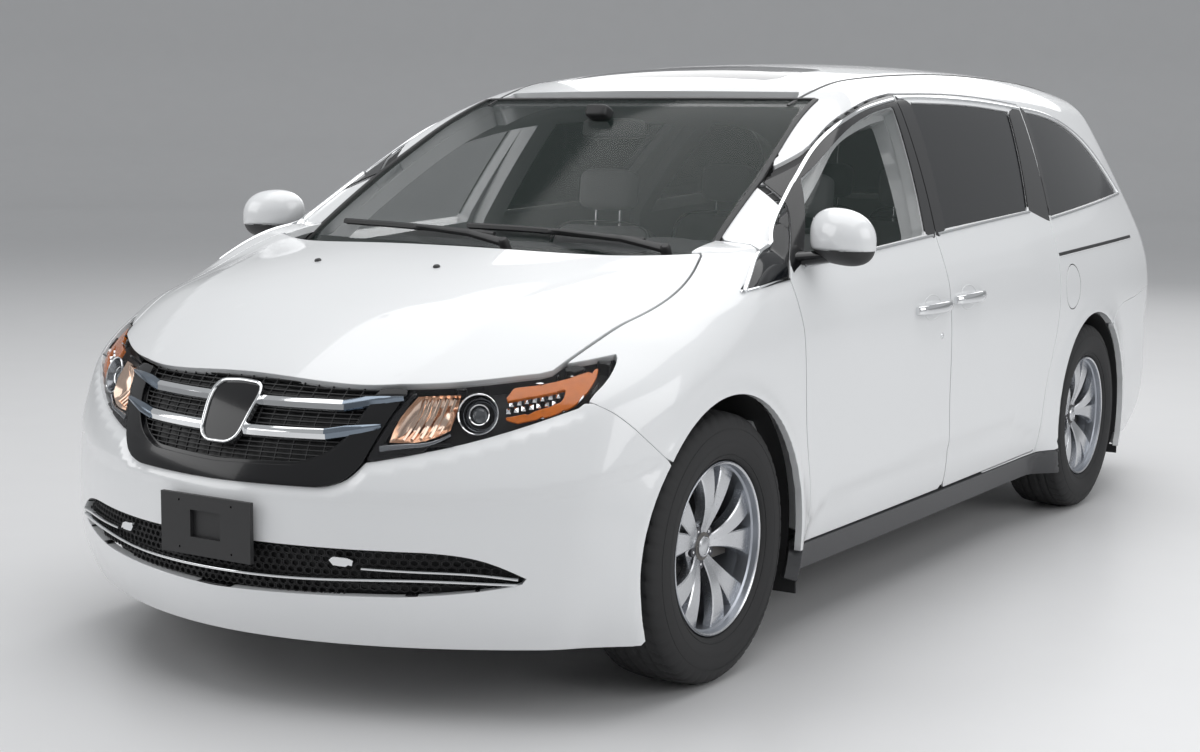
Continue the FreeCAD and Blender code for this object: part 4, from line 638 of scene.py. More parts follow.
def joined(*parts):
    """Several (vertices, directions, triangles, quads) as one."""
    shifts = np.cumsum([0] + [len(part[0]) for part in parts[:-1]])
    directions = None if parts[0][1] is None else np.concatenate([part[1] for part in parts])
    triangles, quads = (np.concatenate([part[k] + shift for part, shift in zip(parts, shifts)]) for k in (2, 3))
    return np.concatenate([part[0] for part in parts]), directions, triangles, quads


def flipped(part):
    """The same part on the other side."""
    v, d, t, q = part
    return v * (-1, 1, 1), None if d is None else d * (-1, 1, 1), t[:, ::-1], q[:, ::-1]


def place(points):
    """From axle-based places to the frame."""
    moved = np.array(points, float)
    moved[..., 1] += AXLE_Y
    return moved


def add_part(name, part, material, body=BODY, replaces=None, angle=38):
    """One mesh on a body, shaded along its own directions, or else smooth but for edges sharper than an angle."""
    vertices, directions, triangles, quads = part
    mesh = bpy.data.meshes.new(name)
    triangles = np.asarray(triangles, np.int32).reshape(-1, 3)
    quads = np.asarray(quads, np.int32).reshape(-1, 4)
    loops = np.concatenate([triangles.ravel(), quads.ravel()])
    starts = np.concatenate([np.arange(len(triangles)) * 3, len(triangles) * 3 + np.arange(len(quads)) * 4])
    mesh.vertices.add(len(vertices))
    mesh.vertices.foreach_set("co", place(vertices).astype(np.float32).ravel())
    mesh.loops.add(len(loops))
    mesh.loops.foreach_set("vertex_index", loops.astype(np.int32))
    mesh.polygons.add(len(starts))
    mesh.polygons.foreach_set("loop_start", starts.astype(np.int32))
    mesh.update(calc_edges=True)
    mesh.validate()
    mesh.polygons.foreach_set("use_smooth", np.ones(len(mesh.polygons), bool))
    if directions is not None:
        mesh.normals_split_custom_set_from_vertices(np.asarray(directions, float).tolist())
    piece = bpy.data.objects.new(name, mesh)
    bpy.context.scene.collection.objects.link(piece)
    mesh.materials.append(material)
    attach(piece, body)
    if replaces:
        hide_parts(replaces)
    if directions is None and angle:
        mesh.set_sharp_from_angle(angle=math.radians(angle))
    return piece


def add_both(name, part, material, bodies=(BODY, BODY), replaces="", angle=38):
    """A left piece and its mirror image on the right."""
    for side, body, shape in (("left", bodies[0], part), ("right", bodies[1], flipped(part))):
        add_part(name + "_" + side, shape, material, body, replaces.replace("left", side), angle)


# Panel outlines: side views as (Y, Z), front and rear views as (X, Z), plan views as (X, Y)

door_front = [(500, 290), (496, 430), (467, 591), (430, 771), (403, 934), (377, 1065)]
door_top = [(655, 1327), (847, 1413), (1043, 1498), (1247, 1551), (1457, 1587), (1608, 1604)]
pillar = [(1608, 1604), (1463, 1129)]
pillar_low = [(1463, 1129), (1470, 977), (1480, 864), (1505, 700), (1532, 500), (1547, 294)]
front_door = outline(door_front, door_top[:1], door_top[1:], pillar[1:], pillar_low[1:])
slider_top = [(1608, 1604), (2137, 1614), (2500, 1606), (2790, 1591)]
slider_rear = [(2592, 1149), (2570, 1010), (2555, 781), (2502, 593), (2461, 481), (2451, 300)]
sliding_door = outline(pillar_low[::-1], pillar[:1], slider_top[1:], slider_rear[:1], slider_rear[1:])
front_window = outline(
    [(470, 1100), (716, 1333)], [(880, 1402), (1060, 1470), (1260, 1520), (1430, 1549), (1545, 1562)],
    [(1385, 1150)],
)
slider_window = outline(
    [(1556, 1162), (1702, 1578)], [(2137, 1580), (2400, 1574), (2640, 1562)], [(2400, 1200)],
)
quarter_window = outline(
    [(2622, 1172), (2834, 1566)], [(3060, 1550), (3280, 1512), (3450, 1446), (3580, 1350), (3672, 1240)],
)
fender_shape = outline(
    door_front, [(126, 1046)], [(289, 1117)], [(400, 1172)], [(400, 1400)], [(-600, 1400)], [(-600, 930)],
    [(-438, 779)], [(-359, 691), (-307, 638)], [(-280, 290)],
)
bumper_side = outline(
    [(-1000, 100), (-300, 100)], [(-280, 290)], [(-307, 638)], [(-359, 691), (-438, 779)], [(-600, 930)],
    [(-600, 1000)], [(-1000, 1000)],
)
hood_front_edge = [(0, -754), (284, -736), (448, -684), (608, -589), (743, -479)]
hood_shape = mirrored(
    hood_front_edge, [(779, -357), (808, -204), (821, -35), (812, 90), (770, 226)], [(520, 84), (259, 8), (0, -5)],
)
lamp_shape = outline(
    [(408, 654), (472, 840)], [(608, 858), (743, 884), (846, 912)], [(862, 870), (838, 793)],
    [(655, 717), (408, 654)],
)
grille_shape = mirrored(
    [(0, 950), (472, 950)], [(472, 840)], [(408, 654)], [(372, 612), (300, 590)], [(0, 588)],
)
intake_shape = mirrored([(0, 446), (560, 442)], [(680, 425), (786, 372)], [(700, 352), (500, 328)], [(0, 314)])
screen_shape = mirrored([(0, 1112), (742, 1112)], [(728, 1178), (714, 1330), (644, 1578)], [(0, 1578)])
roof_shape = mirrored([(0, 900), (590, 900)], [(590, 4100)], [(0, 4100)])
sunroof_shape = mirrored([(0, 1300), (380, 1312)], [(415, 1345)], [(415, 1680)], [(380, 1712)], [(0, 1716)])
tailgate_shape = mirrored(
    [(0, 612), (560, 612)], [(625, 650), (655, 760), (668, 920)],
    [(674, 1080), (668, 1230), (638, 1400), (590, 1560)], [(560, 1598)], [(0, 1602)],
)
rear_window = mirrored([(0, 1190), (560, 1196)], [(604, 1225)], [(590, 1360), (536, 1530)], [(0, 1545)])
tail_lamp_shape = outline([(684, 905), (684, 1072)], [(1020, 1064)], [(1020, 905)])
lamp_side = outline([(3790, 1090), (3830, 1000), (3950, 900)], [(4300, 900)], [(4300, 1090)])
rear_bumper_side = outline(
    [(3230, 100), (3330, 300)], [(3230, 720)], [(3357, 782), (3563, 806), (3800, 842), (4300, 890)],
    [(4300, 100)],
)

# The skin's sheets

SEAM = 0.0004
SWING = 0.00325
SLIDE = 0.002
JAMB = 0.055
DOOR_FLANGE = 0.008
DOOR_REBATE = 0.016
FENDER_THICKNESS = 0.022
BUMPER_THICKNESS = 0.024
GLASS_GAP = 0.0003
ROOF_THICKNESS = 0.038
TAILGATE_THICKNESS = 0.07
TAILGATE_REBATE = 0.026

side_grid = Grid(*fan_cross(0.3, 3.98, (0.25, 1.0), -50, 66))
fender_grid = Grid(*fan_cross(-0.64, 0.56, (0.43, 0.64), -42, 68))
front_grid = Grid(*fan_level(0.187, 0.915, -0.06, -182, 2, reach=1.39))
tail_grid = Grid(*fan_level(0.197, 1.618, 3.06, 0, 180, 0.02, 1.84))
roof_grid = Grid(*fan_length((0.606, 0.606), (2.4, 1.0), 17, 158, 0.025, 1.0))
glass_grid = Grid(*fan_length((0.668, 0.762), (1.5, 0.5), 106, 158, 0.023, 1.2), field=upper_field)
hood_front_curve = spline([(x / 1000, y / 1000) for x, y in hood_front_edge + [(850, -392)]])
hood_rear_curve = spline([(0, -0.005), (0.259, 0.008), (0.52, 0.084), (0.767, 0.225), (0.85, 0.3)])
hood_grid = Grid(*rays_up(
    np.linspace(-0.842, 0.842, 84), lambda x: hood_front_curve(x) - 0.016, lambda x: hood_rear_curve(x) + 0.016,
    0.64, 0.02, 0.87,
), field=lower_field)


def wall_depth(extra):
    """Door thickness below the belt and frame thickness above it."""
    return lambda z: 0.11 - 0.065 * ease((z - 1.04) / 0.14) + extra


# Materials


def shader(name, colour, roughness=0.5, metallic=0.0, coat=0.0, transmission=0.0, alpha=1.0, ior=1.5,
           grain=(40.0, 0.0), mottle=0.0, sheen=0.0, glow=0.0, rough_spread=0.0):
    """A procedural material: grain is (scale, bump strength), mottle and rough_spread vary colour and finish."""
    made = bpy.data.materials.new(name)
    made.use_nodes = True
    nodes, links = made.node_tree.nodes, made.node_tree.links
    inputs = nodes["Principled BSDF"].inputs
    settings = {
        "Base Color": (*colour, 1), "Roughness": roughness, "Metallic": metallic, "Coat Weight": coat,
        "Coat Roughness": 0.04, "Transmission Weight": transmission, "Alpha": alpha, "IOR": ior,
        "Sheen Weight": sheen,
    }
    if glow:
        settings.update({"Emission Color": (*colour, 1), "Emission Strength": glow})
    for label, value in settings.items():
        inputs[label].default_value = value
    place_node = nodes.new("ShaderNodeTexCoord")
    noise = nodes.new("ShaderNodeTexNoise")
    noise.inputs["Scale"].default_value = grain[0]
    noise.inputs["Detail"].default_value = 4
    links.new(place_node.outputs["Object"], noise.inputs["Vector"])
    if grain[1]:
        bump = nodes.new("ShaderNodeBump")
        bump.inputs["Strength"].default_value = grain[1]
        bump.inputs["Distance"].default_value = 0.001
        links.new(noise.outputs["Fac"], bump.inputs["Height"])
        links.new(bump.outputs["Normal"], inputs["Normal"])
    if mottle:
        mix = nodes.new("ShaderNodeMix")
        mix.data_type = "RGBA"
        mix.inputs["A"].default_value = (*[c * (1 - mottle) for c in colour], 1)
        mix.inputs["B"].default_value = (*[min(1, c * (1 + mottle)) for c in colour], 1)
        links.new(noise.outputs["Fac"], mix.inputs["Factor"])
        links.new(mix.outputs["Result"], inputs["Base Color"])
    spread = rough_spread or (0.0 if grain[1] or mottle else 0.03)
    if spread:
        ramp = nodes.new("ShaderNodeMapRange")
        ramp.inputs["To Min"].default_value = max(0, roughness - spread)
        ramp.inputs["To Max"].default_value = min(1, roughness + spread)
        links.new(noise.outputs["Fac"], ramp.inputs["Value"])
        links.new(ramp.outputs["Result"], inputs["Roughness"])
    return made


paint = shader("white_paint", (0.8, 0.81, 0.82), 0.32, coat=1.0, grain=(14.0, 0.0), rough_spread=0.02)
black_gloss = shader("black_gloss", (0.008, 0.008, 0.009), 0.16, coat=0.25, ior=1.35)
black_plastic = shader("black_plastic", (0.022, 0.022, 0.023), 0.5, grain=(900.0, 0.15))
grey_glass = shader("grey_glass", (0.008, 0.009, 0.011), 0.06, alpha=0.9)
green_glass = shader("green_glass", (0.022, 0.038, 0.033), 0.1, alpha=0.2)
chrome = shader("chrome", (0.82, 0.83, 0.84), 0.06, metallic=1.0)
red_lens = shader("red_lens", (0.42, 0.01, 0.012), 0.08, coat=1.0)
rubber = shader("rubber", (0.018, 0.018, 0.019), 0.7, grain=(600.0, 0.2))
tyre_rubber = shader("tyre_rubber", (0.02, 0.02, 0.021), 0.75, grain=(500.0, 0.2))

# Doors, body sides, fenders

corner_front = spline([
    (1.044, 0.945), (1.092, 0.926), (1.14, 0.89), (1.192, 0.857), (1.247, 0.843), (1.303, 0.826),
])
corner_rear = spline([
    (1.07, 0.384), (1.115, 0.433), (1.161, 0.481), (1.207, 0.532), (1.255, 0.59), (1.303, 0.655),
])
corner_low = spline([(0.13, 1.046), (0.201, 1.055), (0.288, 1.064), (0.388, 1.072)])
corner_region = both(
    lambda p: p[:, 0] - corner_front(p[:, 2]), lambda p: corner_rear(p[:, 2]) - p[:, 1],
    lambda p: p[:, 2] - corner_low(p[:, 1]), below(1.3),
)
LAP = 0.003
REAR_JOIN = 3.85
SIDE_INNER_X = 0.54
SILL_Z = 0.29
TAIL_TOP = 1.612
glass_hole = outside(from_side(front_window))
screen_hole = clear_of(from_front(screen_shape), 0.0065)
door_gap = grown(from_side(front_door), -SWING)
slider_gap = grown(from_side(sliding_door), -SLIDE)
skin_of_door = both(door_gap, glass_hole, screen_hole)
core_of_door = both(grown(from_side(front_door), -SWING - DOOR_REBATE), glass_hole, screen_hole)
door_bodies = ("door_left", "door_right")
add_both("front_door", joined(
    slab(side_grid, skin_of_door, 0, DOOR_FLANGE),
    slab(side_grid, core_of_door, DOOR_FLANGE - 0.001, wall_depth(0)),
), paint, door_bodies, replaces="front_door_left")
slider_hole = outside(from_side(slider_window))
add_both("sliding_door", joined(
    slab(side_grid, both(slider_gap, slider_hole), 0, DOOR_FLANGE),
    slab(side_grid, both(grown(from_side(sliding_door), -SLIDE - DOOR_REBATE), slider_hole), DOOR_FLANGE - 0.001,
         wall_depth(0)),
), paint, replaces="sliding_door_left")

corner_hole = outside(corner_region)
quarter_hole = outside(from_side(quarter_window))
roof_line_clear = clear_of(from_above(roof_shape), SEAM)
rear_bumper_clear = clear_of(from_side(rear_bumper_side), SEAM)
tailgate_clear = clear_of(from_front(tailgate_shape), SWING)
tail_lamp_clear = clear_of(both(from_front(tail_lamp_shape), from_side(lamp_side)), SEAM)
rear_arch_clear = outside(arch(WHEELBASE, ARCH_RADIUS))
side_part = both(
    beyond(SIDE_INNER_X), behind(0.33), ahead(REAR_JOIN + LAP), above(SILL_Z), outside(from_front(screen_shape)),
    quarter_hole, corner_hole, roof_line_clear, rear_bumper_clear, rear_arch_clear,
    outside(arch(0, ARCH_RADIUS + 0.0248)),
)
outer_side = both(
    side_part, clear_of(from_side(front_door), SWING), clear_of(from_side(sliding_door), SLIDE),
    clear_of(from_side(fender_shape), SEAM), tailgate_clear, tail_lamp_clear,
)
jamb_side = both(side_part, clear_of(from_side(front_door), -JAMB), clear_of(from_side(sliding_door), -JAMB))
tail_part = both(beyond(SIDE_INNER_X), behind(REAR_JOIN - LAP), above(0.56), below(TAIL_TOP), rear_bumper_clear)
corner_tail = both(tail_part, tailgate_clear, tail_lamp_clear, quarter_hole, roof_line_clear)
jamb_tail = both(tail_part, clear_of(from_front(tailgate_shape), -JAMB))
flap_centre = (2.716, 0.902)
FLAP_RADIUS = 0.084


def flap(radius):
    return lambda p: radius - np.hypot(p[:, 1] - flap_centre[0], p[:, 2] - flap_centre[1])


jambs = joined(
    slab(side_grid, jamb_side, wall_depth(0.0008), wall_depth(0.052)),
    slab(tail_grid, corner_tail, 0, 0.0709),
    slab(tail_grid, jamb_tail, TAILGATE_THICKNESS + 0.0008, 0.122),
)
add_part("body_side_left", joined(
    slab(side_grid, both(outer_side, outside(flap(FLAP_RADIUS + SWING))), 0, wall_depth(0.0009)), jambs,
), paint, replaces="body_side_left")
add_part("body_side_right", flipped(joined(slab(side_grid, outer_side, 0, wall_depth(0.0009)), jambs)), paint,
         replaces="body_side_right")
add_part("fuel_flap", slab(side_grid, flap(FLAP_RADIUS), 0, 0.012), paint, "fuel_flap",
         replaces="fuel_flap")
hood_hole = clear_of(from_above(hood_shape), SWING)
lamp_hole = outside(from_front(lamp_shape))
add_both("fender", slab(fender_grid, both(
    grown(from_side(fender_shape), -SEAM), hood_hole, lamp_hole, outside(arch(0, ARCH_RADIUS)),
    corner_hole, outside(from_front(screen_shape)), beyond(0.3), behind(-0.6), ahead(0.52), above(SILL_Z),
), 0, FENDER_THICKNESS), paint, replaces="fender_left")

# Bumpers, hood, roof and tailgate

right_lamp_shape = lamp_shape[::-1] * (-1, 1)
BAND = 0.03
trim_edge = either(from_front(grille_shape), from_front(lamp_shape), from_front(right_lamp_shape))


def edge_nearness(points):
    """From 0 outside the chamfer band to 1 at the trim's edge."""
    return np.clip(1 + trim_edge(points) / BAND, 0, 1)


bumper_grid = copy.copy(front_grid)
nearness = edge_nearness(front_grid.points)
slope = differences(edge_nearness, front_grid.points) / (2 * STEP)
CHAMFER = 0.011
lower_front = ease((0.8 - front_grid.points[:, 2]) / 0.05)
bumper_grid.points = front_grid.points - front_grid.normals * (CHAMFER * nearness * lower_front)[:, None]
bumper_grid.normals = front_grid.normals + slope * (CHAMFER * lower_front)[:, None]
bumper_grid.normals /= np.linalg.norm(bumper_grid.normals, axis=1, keepdims=True)
add_part("front_bumper", slab(bumper_grid, both(
    grown(from_side(bumper_side), -SEAM), above(0.19), hood_hole, lamp_hole,
    outside(from_front(right_lamp_shape)), outside(arch(0, ARCH_RADIUS)),
    outside(from_front(grille_shape)), outside(from_front(intake_shape)), ahead(-0.28),
), 0, BUMPER_THICKNESS), paint, replaces="front_bumper")
add_part("rear_bumper", slab(tail_grid, both(
    grown(from_side(rear_bumper_side), -SEAM), rear_arch_clear, tailgate_clear,
), 0, BUMPER_THICKNESS), paint, replaces="rear_bumper")
add_part("hood", slab(hood_grid, grown(from_above(hood_shape), -SWING), 0, 0.025), paint, "hood",
         replaces="hood")
add_part("roof_panel", slab(roof_grid, both(
    grown(from_above(roof_shape), -SEAM), above(1.5786), outside(from_above(sunroof_shape)), tailgate_clear,
), 0.0003, ROOF_THICKNESS), paint, replaces="roof_panel")
rear_hole = outside(from_front(rear_window))
add_part("tailgate", joined(
    slab(tail_grid, both(grown(from_front(tailgate_shape), -SWING), rear_hole), 0, DOOR_FLANGE),
    slab(tail_grid, both(grown(from_front(tailgate_shape), -SWING - TAILGATE_REBATE), rear_hole, behind(3.772)),
         DOOR_FLANGE - 0.001, TAILGATE_THICKNESS),
), paint, "tailgate", replaces="tailgate")

# Glass

add_both("front_glass", slab(side_grid, grown(from_side(front_window), -GLASS_GAP), 0.008, 0.012), green_glass,
         door_bodies, replaces="front_glass_left")
panes = joined(
    slab(side_grid, grown(from_side(slider_window), -GLASS_GAP), 0.006, 0.01),
    slab(side_grid, grown(from_side(quarter_window), -GLASS_GAP), 0.006, 0.01),
    slab(fender_grid, both(grown(corner_region, -GLASS_GAP), screen_hole, ahead(0.52)), 0.006, 0.01),
    slab(side_grid, both(grown(corner_region, -GLASS_GAP), screen_hole, behind(0.519)), 0.006, 0.01),
)
add_part("side_windows", joined(panes, flipped(panes)), grey_glass, replaces="side_windows")
add_part("windshield", slab(glass_grid, grown(from_front(screen_shape), -GLASS_GAP), 0.0005, 0.0055),
         green_glass, replaces="windshield")
add_part("sunroof_glass", slab(roof_grid, grown(from_above(sunroof_shape), -GLASS_GAP), 0.0005, 0.0055),
         grey_glass, replaces="sunroof_glass")
add_part("tailgate_glass", slab(tail_grid, grown(from_front(rear_window), -GLASS_GAP), 0.0005, 0.0055),
         grey_glass, "tailgate", replaces="tailgate_glass")

# Sweeps, turned pieces and places on the skin


def skin_at(uv, view, depth=0.0):
    """Skin points and outward directions over places seen from one side."""
    uv = np.asarray(uv, float)
    start = np.zeros(uv.shape[:-1] + (3,))
    heading = np.zeros_like(start)
    first, second, base, turn, reach, field = {
        "side": (1, 2, 0.25, (1, 0, 0), 0.85, skin_field),
        "front": (0, 2, 0.0, (0, -1, 0), 1.0, lower_field),
        "rear": (0, 2, 3.0, (0, 1, 0), 1.3, skin_field),
        "glass": (0, 2, 1.6, (0, -1, 0), 1.7, upper_field),
        "pillar": (0, 2, 1.6, (0, -1, 0), 1.7, skin_field),
        "hood": (0, 1, 0.66, (0, 0, 1), 0.7, lower_field),
        "roof": (0, 1, 1.2, (0, 0, 1), 0.7, skin_field),
    }[view]
    start[..., first], start[..., second] = uv[..., 0], uv[..., 1]
    start[..., 3 - first - second] = base
    heading[...] = turn
    points = hit(field, start, heading, reach)
    points, normals = raised(points, normals_of(field, points))
    return points - normals * np.asarray(depth, float)[..., None], normals


def spot(u, v, view, depth=0.0):
    """One place on the skin with its outward direction."""
    points, normals = skin_at(np.array([[u, v]]), view, depth)
    return points[0], normals[0]


def closed_part(vertices, triangles, quads):
    """A part with its faces turned outwards."""
    vertices = np.asarray(vertices, float)
    triangles = np.asarray(triangles, int).reshape(-1, 3)
    quads = np.asarray(quads, int).reshape(-1, 4)
    halves = np.concatenate([triangles, quads[:, [0, 1, 2]], quads[:, [0, 2, 3]]])
    p = vertices[halves]
    if np.einsum("ij,ij->i", p[:, 0], np.cross(p[:, 1], p[:, 2])).sum() < 0:
        triangles, quads = triangles[:, ::-1], quads[:, ::-1]
    return vertices, None, triangles, quads


def loft(rings, closed=False, ends=None):
    """Rings joined one to the next, as a loop or down to two end points, by default the end rings' middles."""
    rings = np.asarray(rings, float)
    count, size = rings.shape[:2]
    vertices = rings.reshape(-1, 3)
    index = np.arange(count * size).reshape(count, size)
    if closed:
        index = np.vstack([index, index[:1]])
    after = np.roll(index, -1, 1)
    caps = []
    if not closed:
        vertices = np.vstack([vertices, rings[[0, -1]].mean(1) if ends is None else ends])
        caps = [(count * size, b, a) for a, b in zip(index[0], after[0])]
        caps += [(count * size + 1, a, b) for a, b in zip(index[-1], after[-1])]
    quads = np.stack([index[:-1], after[:-1], after[1:], index[1:]], -1).reshape(-1, 4)
    return closed_part(vertices, caps, quads)


def circle(count):
    """Angles round a full turn."""
    return np.linspace(0, 2 * math.pi, count, endpoint=False)


def sweep(points, normals, section, share=None, closed=False):
    """A section of (across, out) pairs carried along a path with one outward direction or one for each point.

    share scales the section at each point: its width, or a pair for its width and height.
    """
    points, section = np.asarray(points, float), np.asarray(section, float)
    normals = np.broadcast_to(np.asarray(normals, float), points.shape)
    run = np.roll(points, -1, 0) - np.roll(points, 1, 0) if closed else np.gradient(points, axis=0)
    run /= np.linalg.norm(run, axis=1, keepdims=True)
    across = np.cross(run, normals)
    across /= np.linalg.norm(across, axis=1, keepdims=True)
    out = np.cross(across, run)
    share = np.ones((len(points), 2)) if share is None else np.asarray(share, float)
    if share.ndim == 1:
        share = np.stack([share, np.ones_like(share)], -1)
    rings = (points[:, None] + across[:, None] * section[None, :, :1] * share[:, None, :1]
             + out[:, None] * section[None, :, 1:] * share[:, None, 1:])
    return loft(rings, closed)


def turned(profile, origin, axis, steps=64):
    """A profile of (along, radius) pairs turned about an axis: a loop, unless it starts and ends on the axis."""
    axis = np.asarray(axis, float) / np.linalg.norm(axis)
    side = np.cross(axis, (0.3, 0.2, 1.0))
    side /= np.linalg.norm(side)
    other = np.cross(axis, side)
    turn = circle(steps)
    spin = np.cos(turn)[:, None] * side + np.sin(turn)[:, None] * other
    profile = np.asarray(profile, float)
    loop = profile[0, 1] > 0
    rows = profile if loop else profile[1:-1]
    rings = np.asarray(origin) + rows[:, None, :1] * axis + rows[:, None, 1:] * spin[None]
    return loft(rings, loop, np.asarray(origin) + profile[[0, -1], :1] * axis)


def rounded_bar(width, height, edge, base=0.0):
    """A section with soft outer edges, from base to height."""
    w, e = width / 2, edge
    return [(-w, base), (-w, height - e), (-w + 0.3 * e, height - 0.3 * e), (-w + e, height), (w - e, height),
            (w - 0.3 * e, height - 0.3 * e), (w, height - e), (w, base)]


def oval(width, height, count=12, low=0.0):
    """An elliptic section whose middle lies at low."""
    turn = circle(count)
    return np.stack([np.cos(turn) * width / 2, np.sin(turn) * height / 2 + low], -1)


def moved(part, shift):
    v, d, t, q = part
    return v + np.asarray(shift, float), d, t, q


def dense(points, spacing=0.01):
    """Close points along a polyline."""
    points = np.asarray(points, float)
    places = np.concatenate([[0], np.cumsum(np.linalg.norm(np.diff(points, axis=0), axis=1))])
    at = np.unique(np.concatenate([places, np.linspace(0, places[-1], max(2, int(places[-1] / spacing)))]))
    return np.stack([np.interp(at, places, points[:, k]) for k in range(points.shape[1])], -1)


def smooth_run(points, spacing=0.01):
    """Close points along a smooth curve through given places."""
    points = np.asarray(points, float)
    places = np.concatenate([[0], np.cumsum(np.linalg.norm(np.diff(points, axis=0), axis=1))])
    at = np.linspace(0, places[-1], max(3, int(places[-1] / spacing)))
    return np.stack([spline(list(zip(places, points[:, k])))(at) for k in range(points.shape[1])], -1)


def skin_strip(uv, view, section, depth=0.0, share=None, closed=False):
    """A strip laid along places on the skin."""
    points, normals = skin_at(uv, view, depth)
    return sweep(points, normals, section, share, closed)


clear_lens = shader("clear_lens", (0.05, 0.05, 0.055), 0.03, alpha=0.07)
amber = shader("amber_lens", (0.6, 0.145, 0.006), 0.18, coat=0.7, grain=(90.0, 0.8), mottle=0.4, glow=0.07)
tinted_chrome = shader("tinted_chrome", (0.86, 0.62, 0.5), 0.12, metallic=1.0, grain=(22.0, 0.0), mottle=0.25)
grey_chrome = shader("grey_chrome", (0.3, 0.31, 0.33), 0.16, metallic=1.0, grain=(20.0, 0.0), rough_spread=0.04)
dark_chrome = shader("dark_chrome", (0.22, 0.26, 0.31), 0.14, metallic=1.0)

# Grille: black surround, mesh, two bars with kinked ends and a bare badge plate

GRILLE_FLOOR = 0.024
surround = both(from_front(grille_shape), hood_hole)
grille_opening = mirrored(
    [(0, 950), (400, 950)], [(392, 838)], [(368, 735), (322, 676), (240, 642)], [(0, 634)], soften=12,
)
add_part("grille_surround", joined(
    slab(front_grid, both(grown(surround, -0.0012), outside(from_front(grille_opening))), 0.0012, 0.014),
    slab(front_grid, both(grown(surround, -0.0012), clear_of(from_front(grille_opening), -0.01)), 0.013, 0.026),
), black_gloss, replaces="upper_grille")


def mesh_lines(us, v_low, v_high, view, section, depth, spacing=0.02, upright=True):
    """Straight mesh wires at given places."""
    wires = []
    for u in us:
        low, high = v_low(u), v_high(u)
        if high - low < 0.012:
            continue
        run = np.linspace(low, high, max(2, int((high - low) / spacing) + 1))
        uv = np.stack([np.full(len(run), u), run], -1) if upright else np.stack([run, np.full(len(run), u)], -1)
        wires.append(skin_strip(uv, view, section, depth))
    return wires


def corners_through(table):
    """A function of the distance from the middle through (place, value) pairs."""
    return lambda place: float(np.interp(abs(place), *zip(*table)))


grille_low = corners_through([
    (0, 0.634), (0.24, 0.642), (0.322, 0.676), (0.368, 0.735), (0.392, 0.838), (0.4, 0.87),
])
half_at = corners_through([
    (0.634, 0.05), (0.642, 0.24), (0.676, 0.322), (0.735, 0.368), (0.838, 0.392), (0.95, 0.4),
])
wire = rounded_bar(0.0022, 0.006, 0.0008)
grille_mesh = mesh_lines(np.arange(-0.387, 0.388, 0.043), grille_low, lambda x: 0.86, "front", wire, 0.021)
grille_mesh += mesh_lines(np.arange(0.646, 0.86, 0.0115), lambda z: -half_at(z), half_at, "front",
                          rounded_bar(0.003, 0.008, 0.001), 0.023, 0.03, upright=False)
add_part("grille_mesh", joined(*grille_mesh), black_plastic)
add_part("grille_back", slab(front_grid, grown(surround, -0.003), 0.032, 0.035), black_plastic)

bar_section = [(-0.0125, -0.014), (-0.015, -0.004), (-0.0138, 0.003), (-0.006, 0.0062), (0.001, 0.0062),
               (0.0125, -0.0005), (0.0145, -0.005), (0.0125, -0.014)]
grille_bars = [
    skin_strip(dense([(-reach, height), (-0.1, middle), (0.1, middle), (reach, height)], 0.012), "front",
               bar_section, 0.006)
    for reach, height, middle in ((0.322, 0.7885, 0.7865), (0.3, 0.7185, 0.716))
]
add_part("grille_bars", joined(*grille_bars), chrome, replaces="grille_bars", angle=28)
tips = []
for height, reach, top in ((0.7885, 0.322, (0.462, 0.806)), (0.7185, 0.3, (0.432, 0.742))):
    for side in (-1, 1):
        run = dense([(side * (reach - 0.004), height), (side * (reach + 0.05), height + 0.009),
                     (side * top[0], top[1])], 0.01)
        away = np.abs(run[:, 0]) - reach
        share = np.interp(away, [0, 0.05, top[0] - reach], [1.0, 1.0, 0.42])
        tips.append(skin_strip(run, "front", bar_section, np.interp(away, [0, 0.05, 0.14], [0.006, 0.002, -0.001]),
                               share))
add_part("grille_bar_tips", joined(*tips), dark_chrome, angle=28)

badge = mirrored([(0, 822), (70, 818)], [(82, 795)], [(64, 700)], [(45, 683), (0, 680)], soften=16)
badge_points, badge_normals = skin_at(badge, "front", 0.0)
add_part("badge_rim", sweep(badge_points[::2], badge_normals[::2], rounded_bar(0.009, 0.011, 0.0035, -0.006),
                              closed=True), chrome)
add_part("badge_plate", slab(front_grid, grown(from_front(badge), 0.001), -0.004, 0.01), black_gloss)

# Lower bumper: intake mesh, chrome lines, bracket

intake_low = corners_through([(0, 0.316), (0.5, 0.33), (0.7, 0.354), (0.786, 0.372)])
intake_high = corners_through([(0, 0.444), (0.56, 0.44), (0.68, 0.423), (0.786, 0.374)])
hexes = []
CELL = 0.0135
for row in range(12):
    for column in range(-60, 61):
        cx = (column + (row % 2) / 2) * CELL * 1.732
        cz = 0.314 + row * CELL * 1.5 * 0.8
        if intake_low(cx) + 0.004 < cz < intake_high(cx) - 0.004 and abs(cx) < 0.775:
            hexes.append((cx, cz))
hex_turn = np.radians([30, 90, 150, 210, 270, 330])
centres = np.array(hexes)
ring = np.stack([np.cos(hex_turn), np.sin(hex_turn) * 0.8], -1) * CELL
corners = centres[:, None] + ring[None] * 0.9
flat = corners.reshape(-1, 2)
outer_points, outer_normals = skin_at(flat, "front", 0.016)
small = (centres[:, None] + ring[None] * 0.74).reshape(-1, 2)
inner_points, _ = skin_at(small, "front", 0.0165)
count = len(centres)
front_ring = outer_points.reshape(count, 6, 3)
hole_ring = inner_points.reshape(count, 6, 3)
directions = outer_normals.reshape(count, 6, 3)
back_ring = front_ring - directions * 0.01
back_hole = hole_ring - directions * 0.01
vertices = np.stack([front_ring, hole_ring, back_hole, back_ring], 1).reshape(-1, 3)
base = np.arange(count)[:, None, None] * 24
